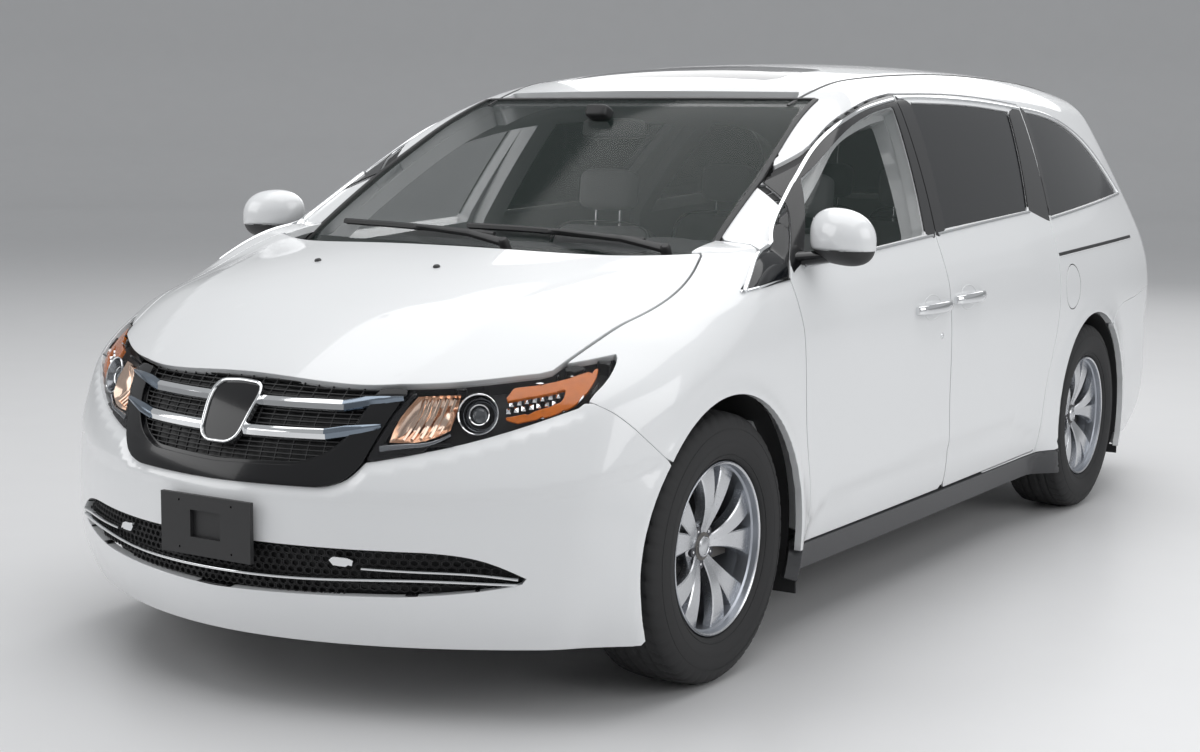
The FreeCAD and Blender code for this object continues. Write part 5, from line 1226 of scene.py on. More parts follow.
turn_on = (np.arange(6) + 1) % 6
quads = np.concatenate([
    np.stack([base[..., 0] + a * 6 + np.arange(6), base[..., 0] + b * 6 + np.arange(6),
              base[..., 0] + b * 6 + turn_on, base[..., 0] + a * 6 + turn_on], -1).reshape(-1, 4)
    for a, b in ((0, 1), (1, 2), (2, 3), (3, 0))
])
add_part("intake_mesh", closed_part(vertices, [], quads), black_plastic, replaces="lower_grille")
add_part("intake_back", slab(front_grid, grown(from_front(intake_shape), 0.012), 0.04, 0.043), black_plastic)
intake_line = mirrored([(0, 442), (560, 438)], [(680, 421), (778, 373)], [(700, 356), (500, 333)], [(0, 319)])
add_part("intake_frame", slab(front_grid, both(grown(from_front(intake_shape), 0.0008),
                                               outside(from_front(intake_line))), 0.001, 0.03), black_gloss)
lines = []
low_line = [(-0.756, 0.3655), (-0.56, 0.372), (-0.3, 0.364), (0, 0.361), (0.3, 0.364), (0.56, 0.372),
            (0.756, 0.3655)]
lines.append(skin_strip(smooth_run(low_line, 0.015), "front", rounded_bar(0.0075, 0.007, 0.003, -0.01), 0.003))
for side in (-1, 1):
    high_line = [(side * 0.757, 0.378), (side * 0.69, 0.388), (side * 0.56, 0.394), (side * 0.42, 0.397)]
    lines.append(skin_strip(smooth_run(high_line, 0.015), "front", rounded_bar(0.0065, 0.007, 0.0028, -0.01), 0.003))
add_part("intake_chrome", joined(*lines), chrome)
lugs = []
lug = outline([(392, 420), (330, 424)], [(352, 398)], [(420, 396)])
for shape in (lug * (-1, 1), lug):
    lugs.append(slab(front_grid, from_front(shape), 0.0015, 0.018, edge=0.0012))
add_part("intake_lugs", joined(*lugs), chrome)

# Headlamps: black housing and bezel, tinted reflector, ringed projector, amber lamp and clear lens

lamp_region = both(from_front(lamp_shape), hood_hole)
bezel_hole = outline(
    [(447, 701), (486, 822)], [(620, 838), (683, 850)], [(766, 866), (836, 897)], [(846, 850), (829, 792)],
    [(795, 763), (755, 748), (711, 737), (640, 716), (560, 708), (447, 701)],
)
housing = joined(
    slab(front_grid, grown(lamp_region, -0.0012), 0.05, 0.054),
    slab(front_grid, both(grown(lamp_region, -0.0012), clear_of(lamp_region, -0.0045)), 0.003, 0.053),
)
bezel = slab(front_grid, both(grown(lamp_region, -0.003), outside(from_front(bezel_hole))), 0.0055, 0.048)
add_both("lamp_housing", housing, black_plastic)
add_both("lamp_bezel", bezel, black_gloss)
reflector_shape = outline(
    [(489, 815), (581, 822)], [(590, 775)], [(586, 738)], [(550, 717), (458, 707)], [(465, 755), (489, 815)],
)


def bowl(points, depth, centre, deep, rows=8):
    """A dished sheet inside an outline on the skin, with a small thickness."""
    edge_points, _ = skin_at(points, "front", depth)
    middle, middle_normal = spot(*centre, "front", deep)
    heart = edge_points.mean(0)
    rings = []
    for k in range(rows + 1):
        share = 1 - k / rows
        rings.append(heart * (1 - share) + edge_points * share + (middle - heart) * (1 - share ** 2) ** 0.7)
    top = np.array(rings)
    grid = np.concatenate([top, (top - middle_normal * 0.002)[::-1]])
    return loft(grid, closed=True)


flutes = []
for k in range(5):
    share = (k + 0.5) / 5
    run = [(0.5 + 0.08 * share, 0.811 + 0.006 * share), (0.476 + 0.098 * share, 0.712 + 0.014 * share)]
    points, normals = skin_at(dense(run, 0.01), "front", 0.0)
    dip = np.linspace(-1, 1, len(points)) ** 2
    flutes.append(sweep(points - normals * (0.04 - 0.022 * dip)[:, None], normals, oval(0.01, 0.008, 8)))
add_both("lamp_reflector", joined(bowl(reflector_shape, 0.008, (0.525, 0.765), 0.044), *flutes), tinted_chrome)
low_edge = smooth_run([(0.44, 0.69), (0.5, 0.6985), (0.556, 0.708), (0.59, 0.728)], 0.01)
low_share = np.linspace(1.0, 0.45, len(low_edge))
add_both("lamp_chrome", skin_strip(low_edge, "front", rounded_bar(0.016, 0.006, 0.0035, -0.012), 0.0085, low_share),
         grey_chrome)
ring_at, ring_normal = spot(0.634, 0.777, "front")
view_axis = ring_normal * 0.55 + np.array([0.22, -1.0, 0.03]) * 0.45
view_axis /= np.linalg.norm(view_axis)
shroud = [(-0.06, 0.034), (-0.04, 0.04), (-0.016, 0.0485), (-0.011, 0.0515), (-0.0085, 0.0505), (-0.0095, 0.0475),
          (-0.02, 0.044), (-0.046, 0.034), (-0.06, 0.032)]
add_both("projector_shroud", turned(shroud, ring_at, view_axis, 72), grey_chrome)
bright = [(-0.0115, 0.05), (-0.008, 0.0518), (-0.0062, 0.0505), (-0.0085, 0.048)]
lens_rim = [(-0.034, 0.0255), (-0.0235, 0.0275), (-0.0205, 0.0262), (-0.022, 0.0235), (-0.034, 0.0225)]
add_both("projector_rims", joined(turned(bright, ring_at, view_axis, 72),
                                  turned(lens_rim, ring_at, view_axis, 64)), chrome)
lens = [(-0.06, 0.0), (-0.058, 0.018), (-0.036, 0.0225), (-0.031, 0.0205), (-0.0265, 0.015), (-0.024, 0.008),
        (-0.0232, 0.0)]
lens_glass = shader("projector_lens", (0.1, 0.11, 0.12), 0.03, coat=1.0, metallic=0.35)
add_both("projector_lens", turned(lens, ring_at, view_axis, 56), lens_glass)
ribs = [
    [(-0.046, 0.0335), (-0.044, 0.035), (-0.042, 0.0335)], [(-0.03, 0.04), (-0.0285, 0.0415), (-0.027, 0.04)],
]
add_both("projector_ribs", joined(*[turned(rib, ring_at, view_axis, 64) for rib in ribs]), chrome)
amber_shape = outline(
    [(683, 844), (766, 860), (830, 891)], [(841, 850), (826, 800)], [(794, 778), (755, 765), (711, 753)],
    [(690, 769)], [(672, 808)],
)
insert_shape = outline([(678, 808), (749, 824), (790, 836)], [(796, 810)], [(767, 796), (710, 776), (690, 772)])
amber_region = from_front(amber_shape)
insert_region = from_front(insert_shape)
add_both("amber_lamp", slab(front_grid, both(grown(amber_region, -0.002), clear_of(insert_region, 0.001)),
                            0.009, 0.02), amber)
add_both("amber_rim", slab(front_grid, both(grown(amber_region, 0.0015), clear_of(amber_region, -0.0036)),
                           0.006, 0.022, edge=0.0008), chrome)
FACET_HALF = (0.0068, 0.008)
facets = []
for k in range(7):
    for row in range(2):
        share = (k + 0.5) / 7
        centre = (0.688 + 0.1 * share, 0.795 + 0.024 * share + (0.009 if row else -0.008))
        point, normal = spot(*centre, "front", 0.016)
        across = np.cross(normal, (0, 0, 1))
        up = np.cross(across, normal)
        corners = [point + across * a * FACET_HALF[0] + up * b * FACET_HALF[1]
                   for a, b in ((-1, -1), (1, -1), (1, 1), (-1, 1))]
        tip = point + normal * 0.006 + across * (0.003 if k % 2 else -0.003)
        back = [corner - normal * 0.012 for corner in corners]
        cube = np.array(corners + back + [tip])
        facets.append(closed_part(cube, [(0, 1, 8), (1, 2, 8), (2, 3, 8), (3, 0, 8)],
                                  [(0, 4, 5, 1), (1, 5, 6, 2), (2, 6, 7, 3), (3, 7, 4, 0), (4, 7, 6, 5)]))
add_both("lamp_insert", joined(*facets), chrome, angle=12)
lens_sheet = slab(front_grid, grown(lamp_region, -0.0012), 0.0006, 0.0028)
add_part("lamp_lenses", joined(lens_sheet, flipped(lens_sheet)), clear_lens, replaces="headlamps")

# Wheels

FACE_X = 0.072
rim_silver = shader("rim_silver", (0.66, 0.67, 0.69), 0.26, metallic=1.0, grain=(220.0, 0.0), rough_spread=0.05)
rim_grey = shader("rim_grey", (0.4, 0.42, 0.46), 0.36, metallic=0.9, grain=(60.0, 0.0), rough_spread=0.04)
pocket_grey = shader("pocket_grey", (0.09, 0.09, 0.1), 0.5, metallic=0.5, grain=(60.0, 0.0), rough_spread=0.04)


def spoke(first, last):
    """One spoke from hub to lip, bowed to one side, with a flat face between soft edges."""
    radii = np.linspace(0.03, 0.2245, 22)
    share = (radii - radii[0]) / (radii[-1] - radii[0])
    angle = np.radians(first + (last - first) * share ** 0.9)
    face = FACE_X - 0.026 * (1 - share) ** 1.6 + 0.01 * np.sin(share * math.pi)
    points = np.stack([face, radii * np.sin(angle), radii * np.cos(angle)], -1)
    width = 0.0105 + 0.0245 * share ** 1.25
    depth = 0.034 - 0.012 * share
    section = [(-0.62, -1.0), (-0.55, -0.1), (-0.47, 0.0), (0.47, 0.0), (0.55, -0.1), (0.62, -1.0)]
    normals = (1.0, 0, 0)
    return sweep(points, normals, section, np.stack([width * 2, depth], -1))


spokes, webs = [], []
for k in range(5):
    middle = 72.0 * k + 8
    for sign in (-1, 1):
        spokes.append(spoke(middle + sign * 5.0, middle + sign * 15.5))
    radii = np.linspace(0.05, 0.118, 10)
    points = np.stack([np.full(10, FACE_X - 0.036), radii * math.sin(math.radians(middle)),
                       radii * math.cos(math.radians(middle))], -1)
    share = (radii - 0.05) / 0.068
    webs.append(sweep(points, (1.0, 0, 0), rounded_bar(1.0, 1.0, 0.2, -1.0),
                      np.stack([0.016 + 0.02 * share, np.full(10, 0.01)], -1)))
rim_lip = 0.234
barrel = [
    (FACE_X + 0.027, rim_lip), (FACE_X + 0.0285, rim_lip - 0.003), (FACE_X + 0.024, rim_lip - 0.0075),
    (FACE_X + 0.006, rim_lip - 0.0105), (FACE_X - 0.012, rim_lip - 0.0125), (0.02, 0.2125), (-0.03, 0.206),
    (-0.09, 0.212), (-0.0985, 0.23), (-0.099, 0.2335), (-0.087, 0.234), (-0.086, 0.2195), (-0.04, 0.211),
    (0.02, 0.2165), (0.078, 0.219), (0.086, 0.229), (0.088, rim_lip),
]
hub = [(-0.01, 0.0), (-0.01, 0.066), (0.012, 0.07), (0.034, 0.066), (0.0445, 0.056), (0.047, 0.04),
       (0.047, 0.0)]
cap = [(0.04, 0.0), (0.04, 0.0285), (0.0545, 0.0285), (0.057, 0.0262), (0.0575, 0.0235), (0.056, 0.0225),
       (0.059, 0.012), (0.06, 0.0)]
cap_groove = [(0.0555, 0.0245), (0.0566, 0.024), (0.0576, 0.0228), (0.0566, 0.0216), (0.0552, 0.022)]
lugs, wells, studs_parts = [], [], []
for k in range(5):
    turn = math.radians(72 * k + 44)
    at = np.array([0, 0.0485 * math.sin(turn), 0.0485 * math.cos(turn)])
    wells.append(turned([(0.03, 0.0128), (0.048, 0.0135), (0.0492, 0.0125), (0.048, 0.0112), (0.031, 0.0105)],
                        at, (1, 0, 0), 28))
    hexagon = [(0.026, 0.0), (0.026, 0.009), (0.044, 0.0088), (0.0462, 0.007), (0.0462, 0.0)]
    lugs.append(turned(hexagon, at, (1, 0, 0), 6))
    studs_parts.append(turned([(0.0455, 0.0), (0.0455, 0.004), (0.049, 0.004), (0.0495, 0.003), (0.0495, 0.0)],
                              at, (1, 0, 0), 16))
    well_floor = turned([(0.027, 0.0), (0.027, 0.012), (0.0482, 0.0118), (0.0474, 0.0)], at, (1, 0, 0), 24)
    wells.append(well_floor)
wheel_parts = {
    "spokes": (joined(*spokes), rim_silver, 25),
    "barrel": (turned(barrel, (0, 0, 0), (1, 0, 0), 120), rim_grey, 30),
    "webs": (joined(*webs), rim_grey, 30),
    "hub": (turned(hub, (0, 0, 0), (1, 0, 0), 72), rim_silver, 30),
    "wells": (joined(*wells), pocket_grey, 30),
    "lugs": (joined(*lugs, *studs_parts), chrome, 25),
    "cap": (joined(turned(cap, (0, 0, 0), (1, 0, 0), 64),
                   turned(cap_groove, (0, 0, 0), (1, 0, 0), 64)), rim_silver, 22),
}
lip = [(FACE_X + 0.0262, rim_lip - 0.0005), (FACE_X + 0.0292, rim_lip - 0.0028), (FACE_X + 0.0265, rim_lip - 0.0072),
       (FACE_X + 0.0235, rim_lip - 0.005)]
wheel_parts["lip"] = (turned(lip, (0, 0, 0), (1, 0, 0), 120), rim_silver, 40)

# The tyre: a dense sheet round its section, with grooves, blocks and sipes

TREAD_HALF = 0.092
STEPS = 288
tread_x = np.linspace(-TREAD_HALF, TREAD_HALF, 33)
crown = TYRE_RADIUS - 0.0003 - 0.0075 * (np.abs(tread_x) / TREAD_HALF) ** 2.4
wall = [(0.104, TYRE_RADIUS - 0.018), (0.1125, TYRE_RADIUS - 0.04), (0.1168, TYRE_RADIUS - 0.066),
        (0.116, 0.28), (0.112, 0.26), (0.106, 0.246), (0.1, 0.2395), (0.09, 0.236)]
right_wall = [(-x, r) for x, r in wall]
lining = [(-0.082, 0.236), (-0.1, 0.275), (-0.095, 0.335), (0.0, 0.352), (0.095, 0.335), (0.1, 0.275),
          (0.082, 0.236)]
profile = np.array(list(zip(tread_x, crown)) + wall + lining[::-1] + right_wall[::-1])
turns = np.arange(STEPS) * 2 * math.pi / STEPS
radius = np.repeat(profile[:, 1:], STEPS, 1)
place_x = np.repeat(profile[:, :1], STEPS, 1)
row_x = tread_x[:, None]
groove = np.zeros((len(tread_x), STEPS))
for centre, half in ((-0.052, 0.0048), (-0.018, 0.0052), (0.018, 0.0052), (0.052, 0.0048)):
    groove = np.maximum(groove, (np.abs(row_x - centre) < half) * 0.007)
step_index = np.arange(STEPS)[None, :]
slant = np.round(row_x / 0.0105).astype(int)
shoulder = (np.abs(row_x) > 0.058) & (((step_index + slant) % 6) == 0)
sipes = (np.abs(row_x) < 0.047) & (((step_index + slant * np.sign(row_x).astype(int)) % 6) == 3)
groove = np.maximum(groove, shoulder * 0.0055)
groove = np.maximum(groove, sipes * 0.0022)
radius[:len(tread_x)] -= groove
edge_row = len(tread_x)
cut = (((np.arange(STEPS) + 9) % 6) == 0) * 0.0035
radius[edge_row] -= cut
radius[len(profile) - 1] -= cut
for row, lift in ((edge_row + 1, 0.0012), (edge_row + 3, 0.0008)):
    place_x[row] += lift
tyre_rings = np.stack([place_x, radius * np.sin(turns), radius * np.cos(turns)], -1)
tyre_part = loft(tyre_rings, closed=True)
bands = []
for r, x, w in ((0.287, 0.1163, 0.0011), (0.252, 0.1092, 0.0014), (0.322, 0.1146, 0.0009)):
    band = [(x - 0.003, r - w), (x + 0.0008, r - w * 0.5), (x + 0.0008, r + w * 0.5), (x - 0.003, r + w)]
    bands.append(turned(band, (0, 0, 0), (1, 0, 0), 144))
tyre_whole = joined(tyre_part, *bands)

for end, axle in (("front", 0.0), ("rear", WHEELBASE)):
    for side, sign in (("left", 1), ("right", -1)):
        wheel = "wheel_" + end + "_" + side
        at = (sign * WHEEL_X, axle, TYRE_RADIUS)
        for label, (part, material, angle) in wheel_parts.items():
            shown = part if sign > 0 else flipped(part)
            add_part(label + "_" + end + "_" + side, moved(shown, at), material, wheel,
                     replaces="rim_" + end + "_" + side if label == "spokes" else None, angle=angle)
        shown = tyre_whole if sign > 0 else flipped(tyre_whole)
        add_part("tyre_mesh_" + end + "_" + side, moved(shown, at), tyre_rubber, wheel,
                 replaces="tyre_" + end + "_" + side, angle=50)

# Mirrors: white cap over a black skirt, light strip, glass and arm

MIRROR_AT = np.array([1.062, 0.5, 1.18])
MIRROR_HALF = np.array([0.1055, 0.075, 0.0805])


def mirror_shell(grow, low, high, back, rows=26, steps=56):
    """Part of the mirror's housing between two heights, closed at the glass side."""
    half = MIRROR_HALF + grow
    turns = circle(steps)
    along = np.linspace(-0.999, back, rows)
    rings = []
    for share in along:
        reach = (1 - abs(share) ** 2.1) ** (1 / 2.1) if share < 0 else 1 - 0.1 * (share / back) ** 2 * (back > 0)
        c, s = np.cos(turns), np.sin(turns)
        x = np.sign(c) * np.abs(c) ** 0.86 * reach * half[0]
        z = np.sign(s) * np.abs(s) ** 0.9 * reach * half[2]
        z = z - 0.01 * (x / half[0]) - 0.012 * (x / half[0]) ** 2 * (s < 0)
        y = np.full(steps, share * half[1]) + 0.012 * (x / half[0]) ** 2 - 0.02 * (x / half[0])
        rings.append(np.stack([x, y, np.clip(z, low, high)], -1))
    return loft(np.array(rings) + MIRROR_AT)


add_both("mirror_cap", mirror_shell(0.0, -0.036, 0.2, 0.4), paint, door_bodies,
         replaces="mirror_left", angle=50)
add_both("mirror_skirt", mirror_shell(-0.0022, -0.2, -0.034, 0.42), black_plastic, door_bodies)
add_both("mirror_light", mirror_shell(0.0012, -0.0385, -0.0335, 0.1), clear_lens, door_bodies)
glass_rim = mirror_shell(-0.004, -0.2, 0.2, 0.46, rows=20)
add_both("mirror_rear", glass_rim, black_plastic, door_bodies)
looking_glass = shader("looking_glass", (0.62, 0.66, 0.68), 0.03, metallic=1.0)
turn = circle(48)
pane_ring = np.stack([np.sign(np.cos(turn)) * np.abs(np.cos(turn)) ** 0.8 * 0.084, np.zeros(48),
                      np.sign(np.sin(turn)) * np.abs(np.sin(turn)) ** 0.85 * 0.06], -1)
panes_y = []
for y, grow in ((0.0345, 1.0), (0.0385, 1.0), (0.0392, 0.985)):
    panes_y.append(pane_ring * (grow, 1, grow) + MIRROR_AT + (0, y, -0.002))
pane_ends = [MIRROR_AT + (0, 0.0345, 0), MIRROR_AT + (0, 0.0394, 0)]
add_both("mirror_glass", loft(panes_y, ends=pane_ends), looking_glass, door_bodies)
arm_path = smooth_run([
    (0.905, 0.492, 1.11), (0.96, 0.494, 1.116), (1.01, 0.496, 1.122), (1.075, 0.5, 1.132),
], 0.01)
arm_share = np.linspace(1.25, 0.95, len(arm_path))
add_both("mirror_arm", sweep(arm_path, (0, 0, 1.0), oval(0.062, 0.036, 20),
                             np.stack([arm_share, arm_share], -1)), black_gloss, door_bodies)

# Side windows: black pillars, chrome round the glass, seals in the door gaps


def side_cover(points, name, bodies, *also):
    region = both(from_side(outline(points[:2], *[[point] for point in points[2:]])), *also)
    add_both(name, slab(side_grid, region, -0.0007, 0.004, edge=0.001), black_gloss, bodies)


side_cover([(380, 1066), (655, 1327), (722, 1341), (478, 1103)], "door_front_frame", door_bodies, door_gap,
           screen_hole, lambda p: p[:, 0] - corner_front(p[:, 2]) - 0.004)
side_cover([(1541, 1564), (1383, 1150), (1463, 1131), (1608, 1604)], "door_rear_frame", door_bodies, door_gap)
side_cover([(1463, 1131), (1560, 1160), (1705, 1580), (1608, 1604)], "slider_front_frame", (BODY, BODY), slider_gap)
side_cover([(2396, 1199), (2592, 1151), (2790, 1591), (2637, 1563)], "slider_rear_frame", (BODY, BODY), slider_gap)
side_cover([(2597, 1160), (2626, 1171), (2838, 1567), (2797, 1592)], "quarter_front_frame", (BODY, BODY),
           clear_of(from_side(sliding_door), SLIDE))


def belt_side(p):
    """Positive above the door's belt line."""
    return p[:, 2] - 1.106 - 0.047 * (p[:, 1] - 0.478)


upper_frame = slab(side_grid, both(grown(from_side(front_window), 0.075), glass_hole, belt_side, screen_hole,
                                   door_gap), -0.0004, 0.003, edge=0.0008)
add_both("door_upper_frame", upper_frame, black_gloss, door_bodies)
gap_seals = slab(side_grid, both(grown(from_side(front_door), SWING + 0.001),
                                 clear_of(from_side(front_door), -SWING - 0.001), screen_hole, above(0.3),
                                 behind(0.34)), 0.0095, 0.0125, edge=0.0006)
add_both("gap_seals", gap_seals, rubber)
trim = rounded_bar(0.013, 0.0042, 0.0022, -0.004)
thin_trim = rounded_bar(0.01, 0.0042, 0.002, -0.004)


def chrome_run(points, name, bodies, section=trim):
    add_both(name, skin_strip(smooth_run(points, 0.014), "side", section), chrome, bodies)


chrome_run([(0.686, 1.322), (0.76, 1.363), (0.92, 1.444), (1.093, 1.504), (1.25, 1.539), (1.44, 1.568),
            (1.585, 1.585)], "front_top_chrome", door_bodies)
chrome_run([(1.622, 1.591), (1.702, 1.594), (2.137, 1.597), (2.4, 1.592), (2.64, 1.582), (2.77, 1.576)],
           "slider_top_chrome", (BODY, BODY))
chrome_run([(2.806, 1.577), (2.9, 1.572), (3.06, 1.56), (3.2, 1.537), (3.33, 1.504), (3.47, 1.448),
            (3.6, 1.352), (3.69, 1.243)], "quarter_top_chrome", (BODY, BODY))
chrome_run([(0.478, 1.092), (0.8, 1.11), (1.1, 1.126), (1.44, 1.144)], "front_belt_chrome", door_bodies,
           thin_trim)
chrome_run([(1.482, 1.147), (1.8, 1.164), (2.1, 1.179), (2.4, 1.193)], "slider_belt_chrome", (BODY, BODY),
           thin_trim)
chrome_run([(2.612, 1.163), (3.0, 1.188), (3.35, 1.211), (3.686, 1.234)], "quarter_belt_chrome", (BODY, BODY),
           thin_trim)
corner_edges = [
    skin_strip(dense([(0.372, 1.062), (0.288, 1.058), (0.201, 1.049), (0.124, 1.04)], 0.014), "side", thin_trim),
    skin_strip(smooth_run([(0.95, 1.04), (0.926, 1.09), (0.892, 1.138), (0.856, 1.19), (0.832, 1.255),
                           (0.813, 1.318)], 0.012), "pillar", rounded_bar(0.012, 0.01, 0.0024, -0.01)),
]
add_both("corner_chrome", joined(*corner_edges), chrome)

# Windscreen border, pillar strips and roof seams

screen_side = [(0.741, 1.11), (0.734, 1.15), (0.728, 1.178), (0.721, 1.255), (0.714, 1.33), (0.682, 1.45),
               (0.645, 1.575)]
add_both("screen_strip", skin_strip(dense(screen_side, 0.012), "glass", rounded_bar(0.017, 0.005, 0.0022, -0.006)),
         black_plastic)
add_part("screen_top_strip", skin_strip(dense([(-0.64, 1.577), (0.64, 1.577)], 0.02), "glass",
                                          rounded_bar(0.014, 0.004, 0.002, -0.006)), black_plastic)
border = both(from_front(screen_shape), clear_of(from_front(screen_shape), -0.022))
add_part("screen_border", slab(glass_grid, grown(border, -0.0006), 0.0058, 0.0066, edge=0.0004), black_gloss)
rail = smooth_run([(0.585, 1.09), (0.601, 1.4), (0.606, 1.7), (0.6, 2.2), (0.59, 2.7), (0.575, 3.2),
                   (0.55, 3.56)], 0.02)
add_both("roof_seam", skin_strip(rail, "roof", rounded_bar(0.01, 0.0012, 0.0005, -0.004)), black_plastic)

# Handles, key cylinder, slider track, washer jets, painted shade in the fuel flap's gap


def dish(points, view, depth, rows=7, thickness=0.0015, power=1.6):
    """A smooth dent inside an outline on the skin."""
    centre = points.mean(0)

    def ring(share, extra):
        return skin_at(centre + (points - centre) * max(share, 0.001), view, depth * (1 - share ** power) + extra)[0]

    shares = [1 - k / rows for k in range(rows + 1)]
    return loft([ring(share, 0.0) for share in shares] + [ring(share, thickness) for share in shares[::-1]],
                closed=True)


def ellipse(centre, half, count=48):
    turn = circle(count)
    return np.array(centre) + np.stack([np.cos(turn) * half[0], np.sin(turn) * half[1]], -1)


CUP_HALF = (0.072, 0.04)


def handle(name, first, last, cup_centre, bodies):
    """A chrome pull over a dished cup."""
    share = np.linspace(0, 1, 34)
    uv = np.array(first) + (np.array(last) - np.array(first)) * share[:, None]
    points, normals = skin_at(uv, "side")
    lift = 0.006 + 0.028 * np.sin(np.clip(share * 1.08 - 0.04, 0, 1) * math.pi) ** 0.55
    scale = 0.8 + 0.25 * np.sin(share * math.pi)
    path = points + normals * lift[:, None]
    pull = sweep(path, normals, oval(0.034, 0.018, 18), np.stack([scale, scale], -1))
    groove_path = points + normals * (lift + 0.007)[:, None]
    line = sweep(groove_path[3:-3], normals[3:-3], oval(0.0045, 0.006, 8))
    add_both(name, joined(pull, line), chrome, bodies, angle=60)
    rim_points, rim_normals = skin_at(ellipse(cup_centre, CUP_HALF), "side", 0.0)
    add_both(name + "_rim", sweep(rim_points, rim_normals, rounded_bar(0.004, 0.0008, 0.0004, -0.003), closed=True),
             paint, bodies, angle=60)


handles = (
    ("front_handle", (1.18, 0.9185), (1.462, 0.9225), (1.318, 0.921), door_bodies),
    ("slider_handle", (1.5, 0.931), (1.75, 0.937), (1.628, 0.934), (BODY, BODY)),
)
for row in handles:
    handle(*row)
for name, _, _, cup_centre, bodies in handles:
    add_both(name + "_cup", dish(ellipse(cup_centre, CUP_HALF), "side", 0.02), paint, bodies,
             angle=60)
lock_at, lock_normal = spot(1.4, 0.823, "side")
cylinder = [(-0.004, 0.0), (-0.004, 0.0105), (0.0018, 0.0105), (0.003, 0.009), (0.003, 0.006), (0.0012, 0.0055),
            (0.0012, 0.0)]
add_part("key_cylinder", turned(cylinder, lock_at, lock_normal, 32), chrome, "door_left")
track_points = [(2.586, 1.03), (2.9, 1.04), (3.25, 1.05), (3.59, 1.059)]
add_both("slider_track", skin_strip(smooth_run(track_points, 0.02), "side",
                                    rounded_bar(0.0125, 0.001, 0.0005, -0.004)), black_plastic)
add_both("slider_track_lip", skin_strip(smooth_run([(a, b - 0.0085) for a, b in track_points], 0.02), "side",
                                        rounded_bar(0.0045, 0.003, 0.0014, -0.004)), paint)
jets = []
for x in (-0.229, 0.195):
    jet_at, jet_normal = spot(x, -0.226, "hood")
    jets.append(turned([(-0.004, 0.0), (-0.004, 0.0105), (0.003, 0.01), (0.0062, 0.007), (0.007, 0.0)],
                       jet_at, jet_normal, 24))
    collar = turned([(-0.004, 0.0), (-0.004, 0.0125), (0.0012, 0.012), (0.0015, 0.0)], jet_at, jet_normal, 24)
    jets.append(moved(collar, (0, 0.006, 0)))
add_part("washer_jets", joined(*jets), black_plastic, "hood")
# A dark ring in the rubber colour, laid just under the fuel flap's gap: painted shade that darkens the gap.
flap_ring_points, flap_ring_normals = skin_at(ellipse(flap_centre, (0.0875, 0.0875), 72), "side", 0.0015)
add_part("flap_gap_painted_shade", sweep(flap_ring_points, flap_ring_normals, rounded_bar(0.005, 0.0006, 0.0003, -0.004),
                             closed=True), rubber)

# Wipers: blade, spine and arm on each side


def wiper(blade, arm, pivot):
    parts = []
    points, normals = skin_at(smooth_run(blade, 0.012), "glass", -0.004)
    parts.append(sweep(points, normals, [(-0.003, -0.003), (-0.0045, 0.004), (-0.01, 0.006), (-0.011, 0.009),
                                         (-0.004, 0.016), (0.004, 0.016), (0.01, 0.009), (0.009, 0.006),
                                         (0.0045, 0.004), (0.003, -0.003)]))
    arm_uv = dense(arm, 0.01)
    share = np.linspace(0, 1, len(arm_uv))
    arm_points, arm_normals = skin_at(arm_uv, "glass", 0.0)
    height = np.interp(share, [0, 0.35, 0.9, 1], [0.026, 0.034, 0.022, 0.018])
    width = np.interp(share, [0, 0.2, 1], [1.5, 1.15, 0.55])
    parts.append(sweep(arm_points + arm_normals * height[:, None], arm_normals,
                       rounded_bar(0.019, 0.008, 0.004, -0.004), width))
    middle = arm_points[-1] + arm_normals[-1] * 0.016
    parts.append(turned([(-0.014, 0.0), (-0.014, 0.008), (0.014, 0.008), (0.014, 0.0)], middle,
                        points[-1] - points[0], 16))
    base, base_normal = spot(*pivot, "glass")
    parts.append(turned([(-0.01, 0.0), (-0.01, 0.017), (0.034, 0.015), (0.04, 0.01), (0.041, 0.0)],
                        base, base_normal, 28))
    return joined(*parts)


wiper_left = wiper([(0.54, 1.148), (0.38, 1.158), (0.18, 1.168), (-0.06, 1.172)],
                   [(0.625, 1.118), (0.48, 1.136), (0.25, 1.16)], (0.625, 1.118))
wiper_right = wiper([(0.06, 1.15), (-0.12, 1.158), (-0.34, 1.164), (-0.6, 1.166)],
                    [(0.13, 1.12), (-0.02, 1.136), (-0.24, 1.156)], (0.13, 1.12))
add_part("wiper_pair", joined(wiper_left, wiper_right), black_plastic, replaces="wipers")

# Sill cladding

cladding = both(below(0.2885), above(0.196), behind(0.36), ahead(2.64),
                outside(arch(0, ARCH_RADIUS + 0.026)), outside(arch(WHEELBASE, ARCH_RADIUS + 0.002)))
clad_grid = Grid(*fan_cross(0.3, 2.7, (0.25, 0.62), -36, -12, spacing=0.023))
clad_grey = shader("clad_grey", (0.055, 0.056, 0.06), 0.45, coat=0.15, grain=(500.0, 0.1))
add_both("sill_cladding", joined(slab(clad_grid, cladding, 0.0, 0.04),
                                 slab(clad_grid, both(cladding, above(0.268)), -0.004, 0.004, edge=0.0022)),
         clad_grey)
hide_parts("sill_cladding")

# Cabin: stuffed seats, dash, steering wheel and inner mirror

seat_cloth = shader("seat_cloth", (0.25, 0.25, 0.255), 0.92, grain=(800.0, 0.12), mottle=0.12, sheen=0.2)
seat_shell = shader("seat_shell", (0.13, 0.13, 0.135), 0.6, grain=(500.0, 0.2))
seat_thread = shader("seat_thread", (0.16, 0.16, 0.165), 0.8, grain=(900.0, 0.3))
dash_top = shader("dash_top", (0.055, 0.056, 0.06), 0.62, grain=(900.0, 0.35))
dash_light = shader("dash_light", (0.3, 0.29, 0.275), 0.6, grain=(700.0, 0.3))


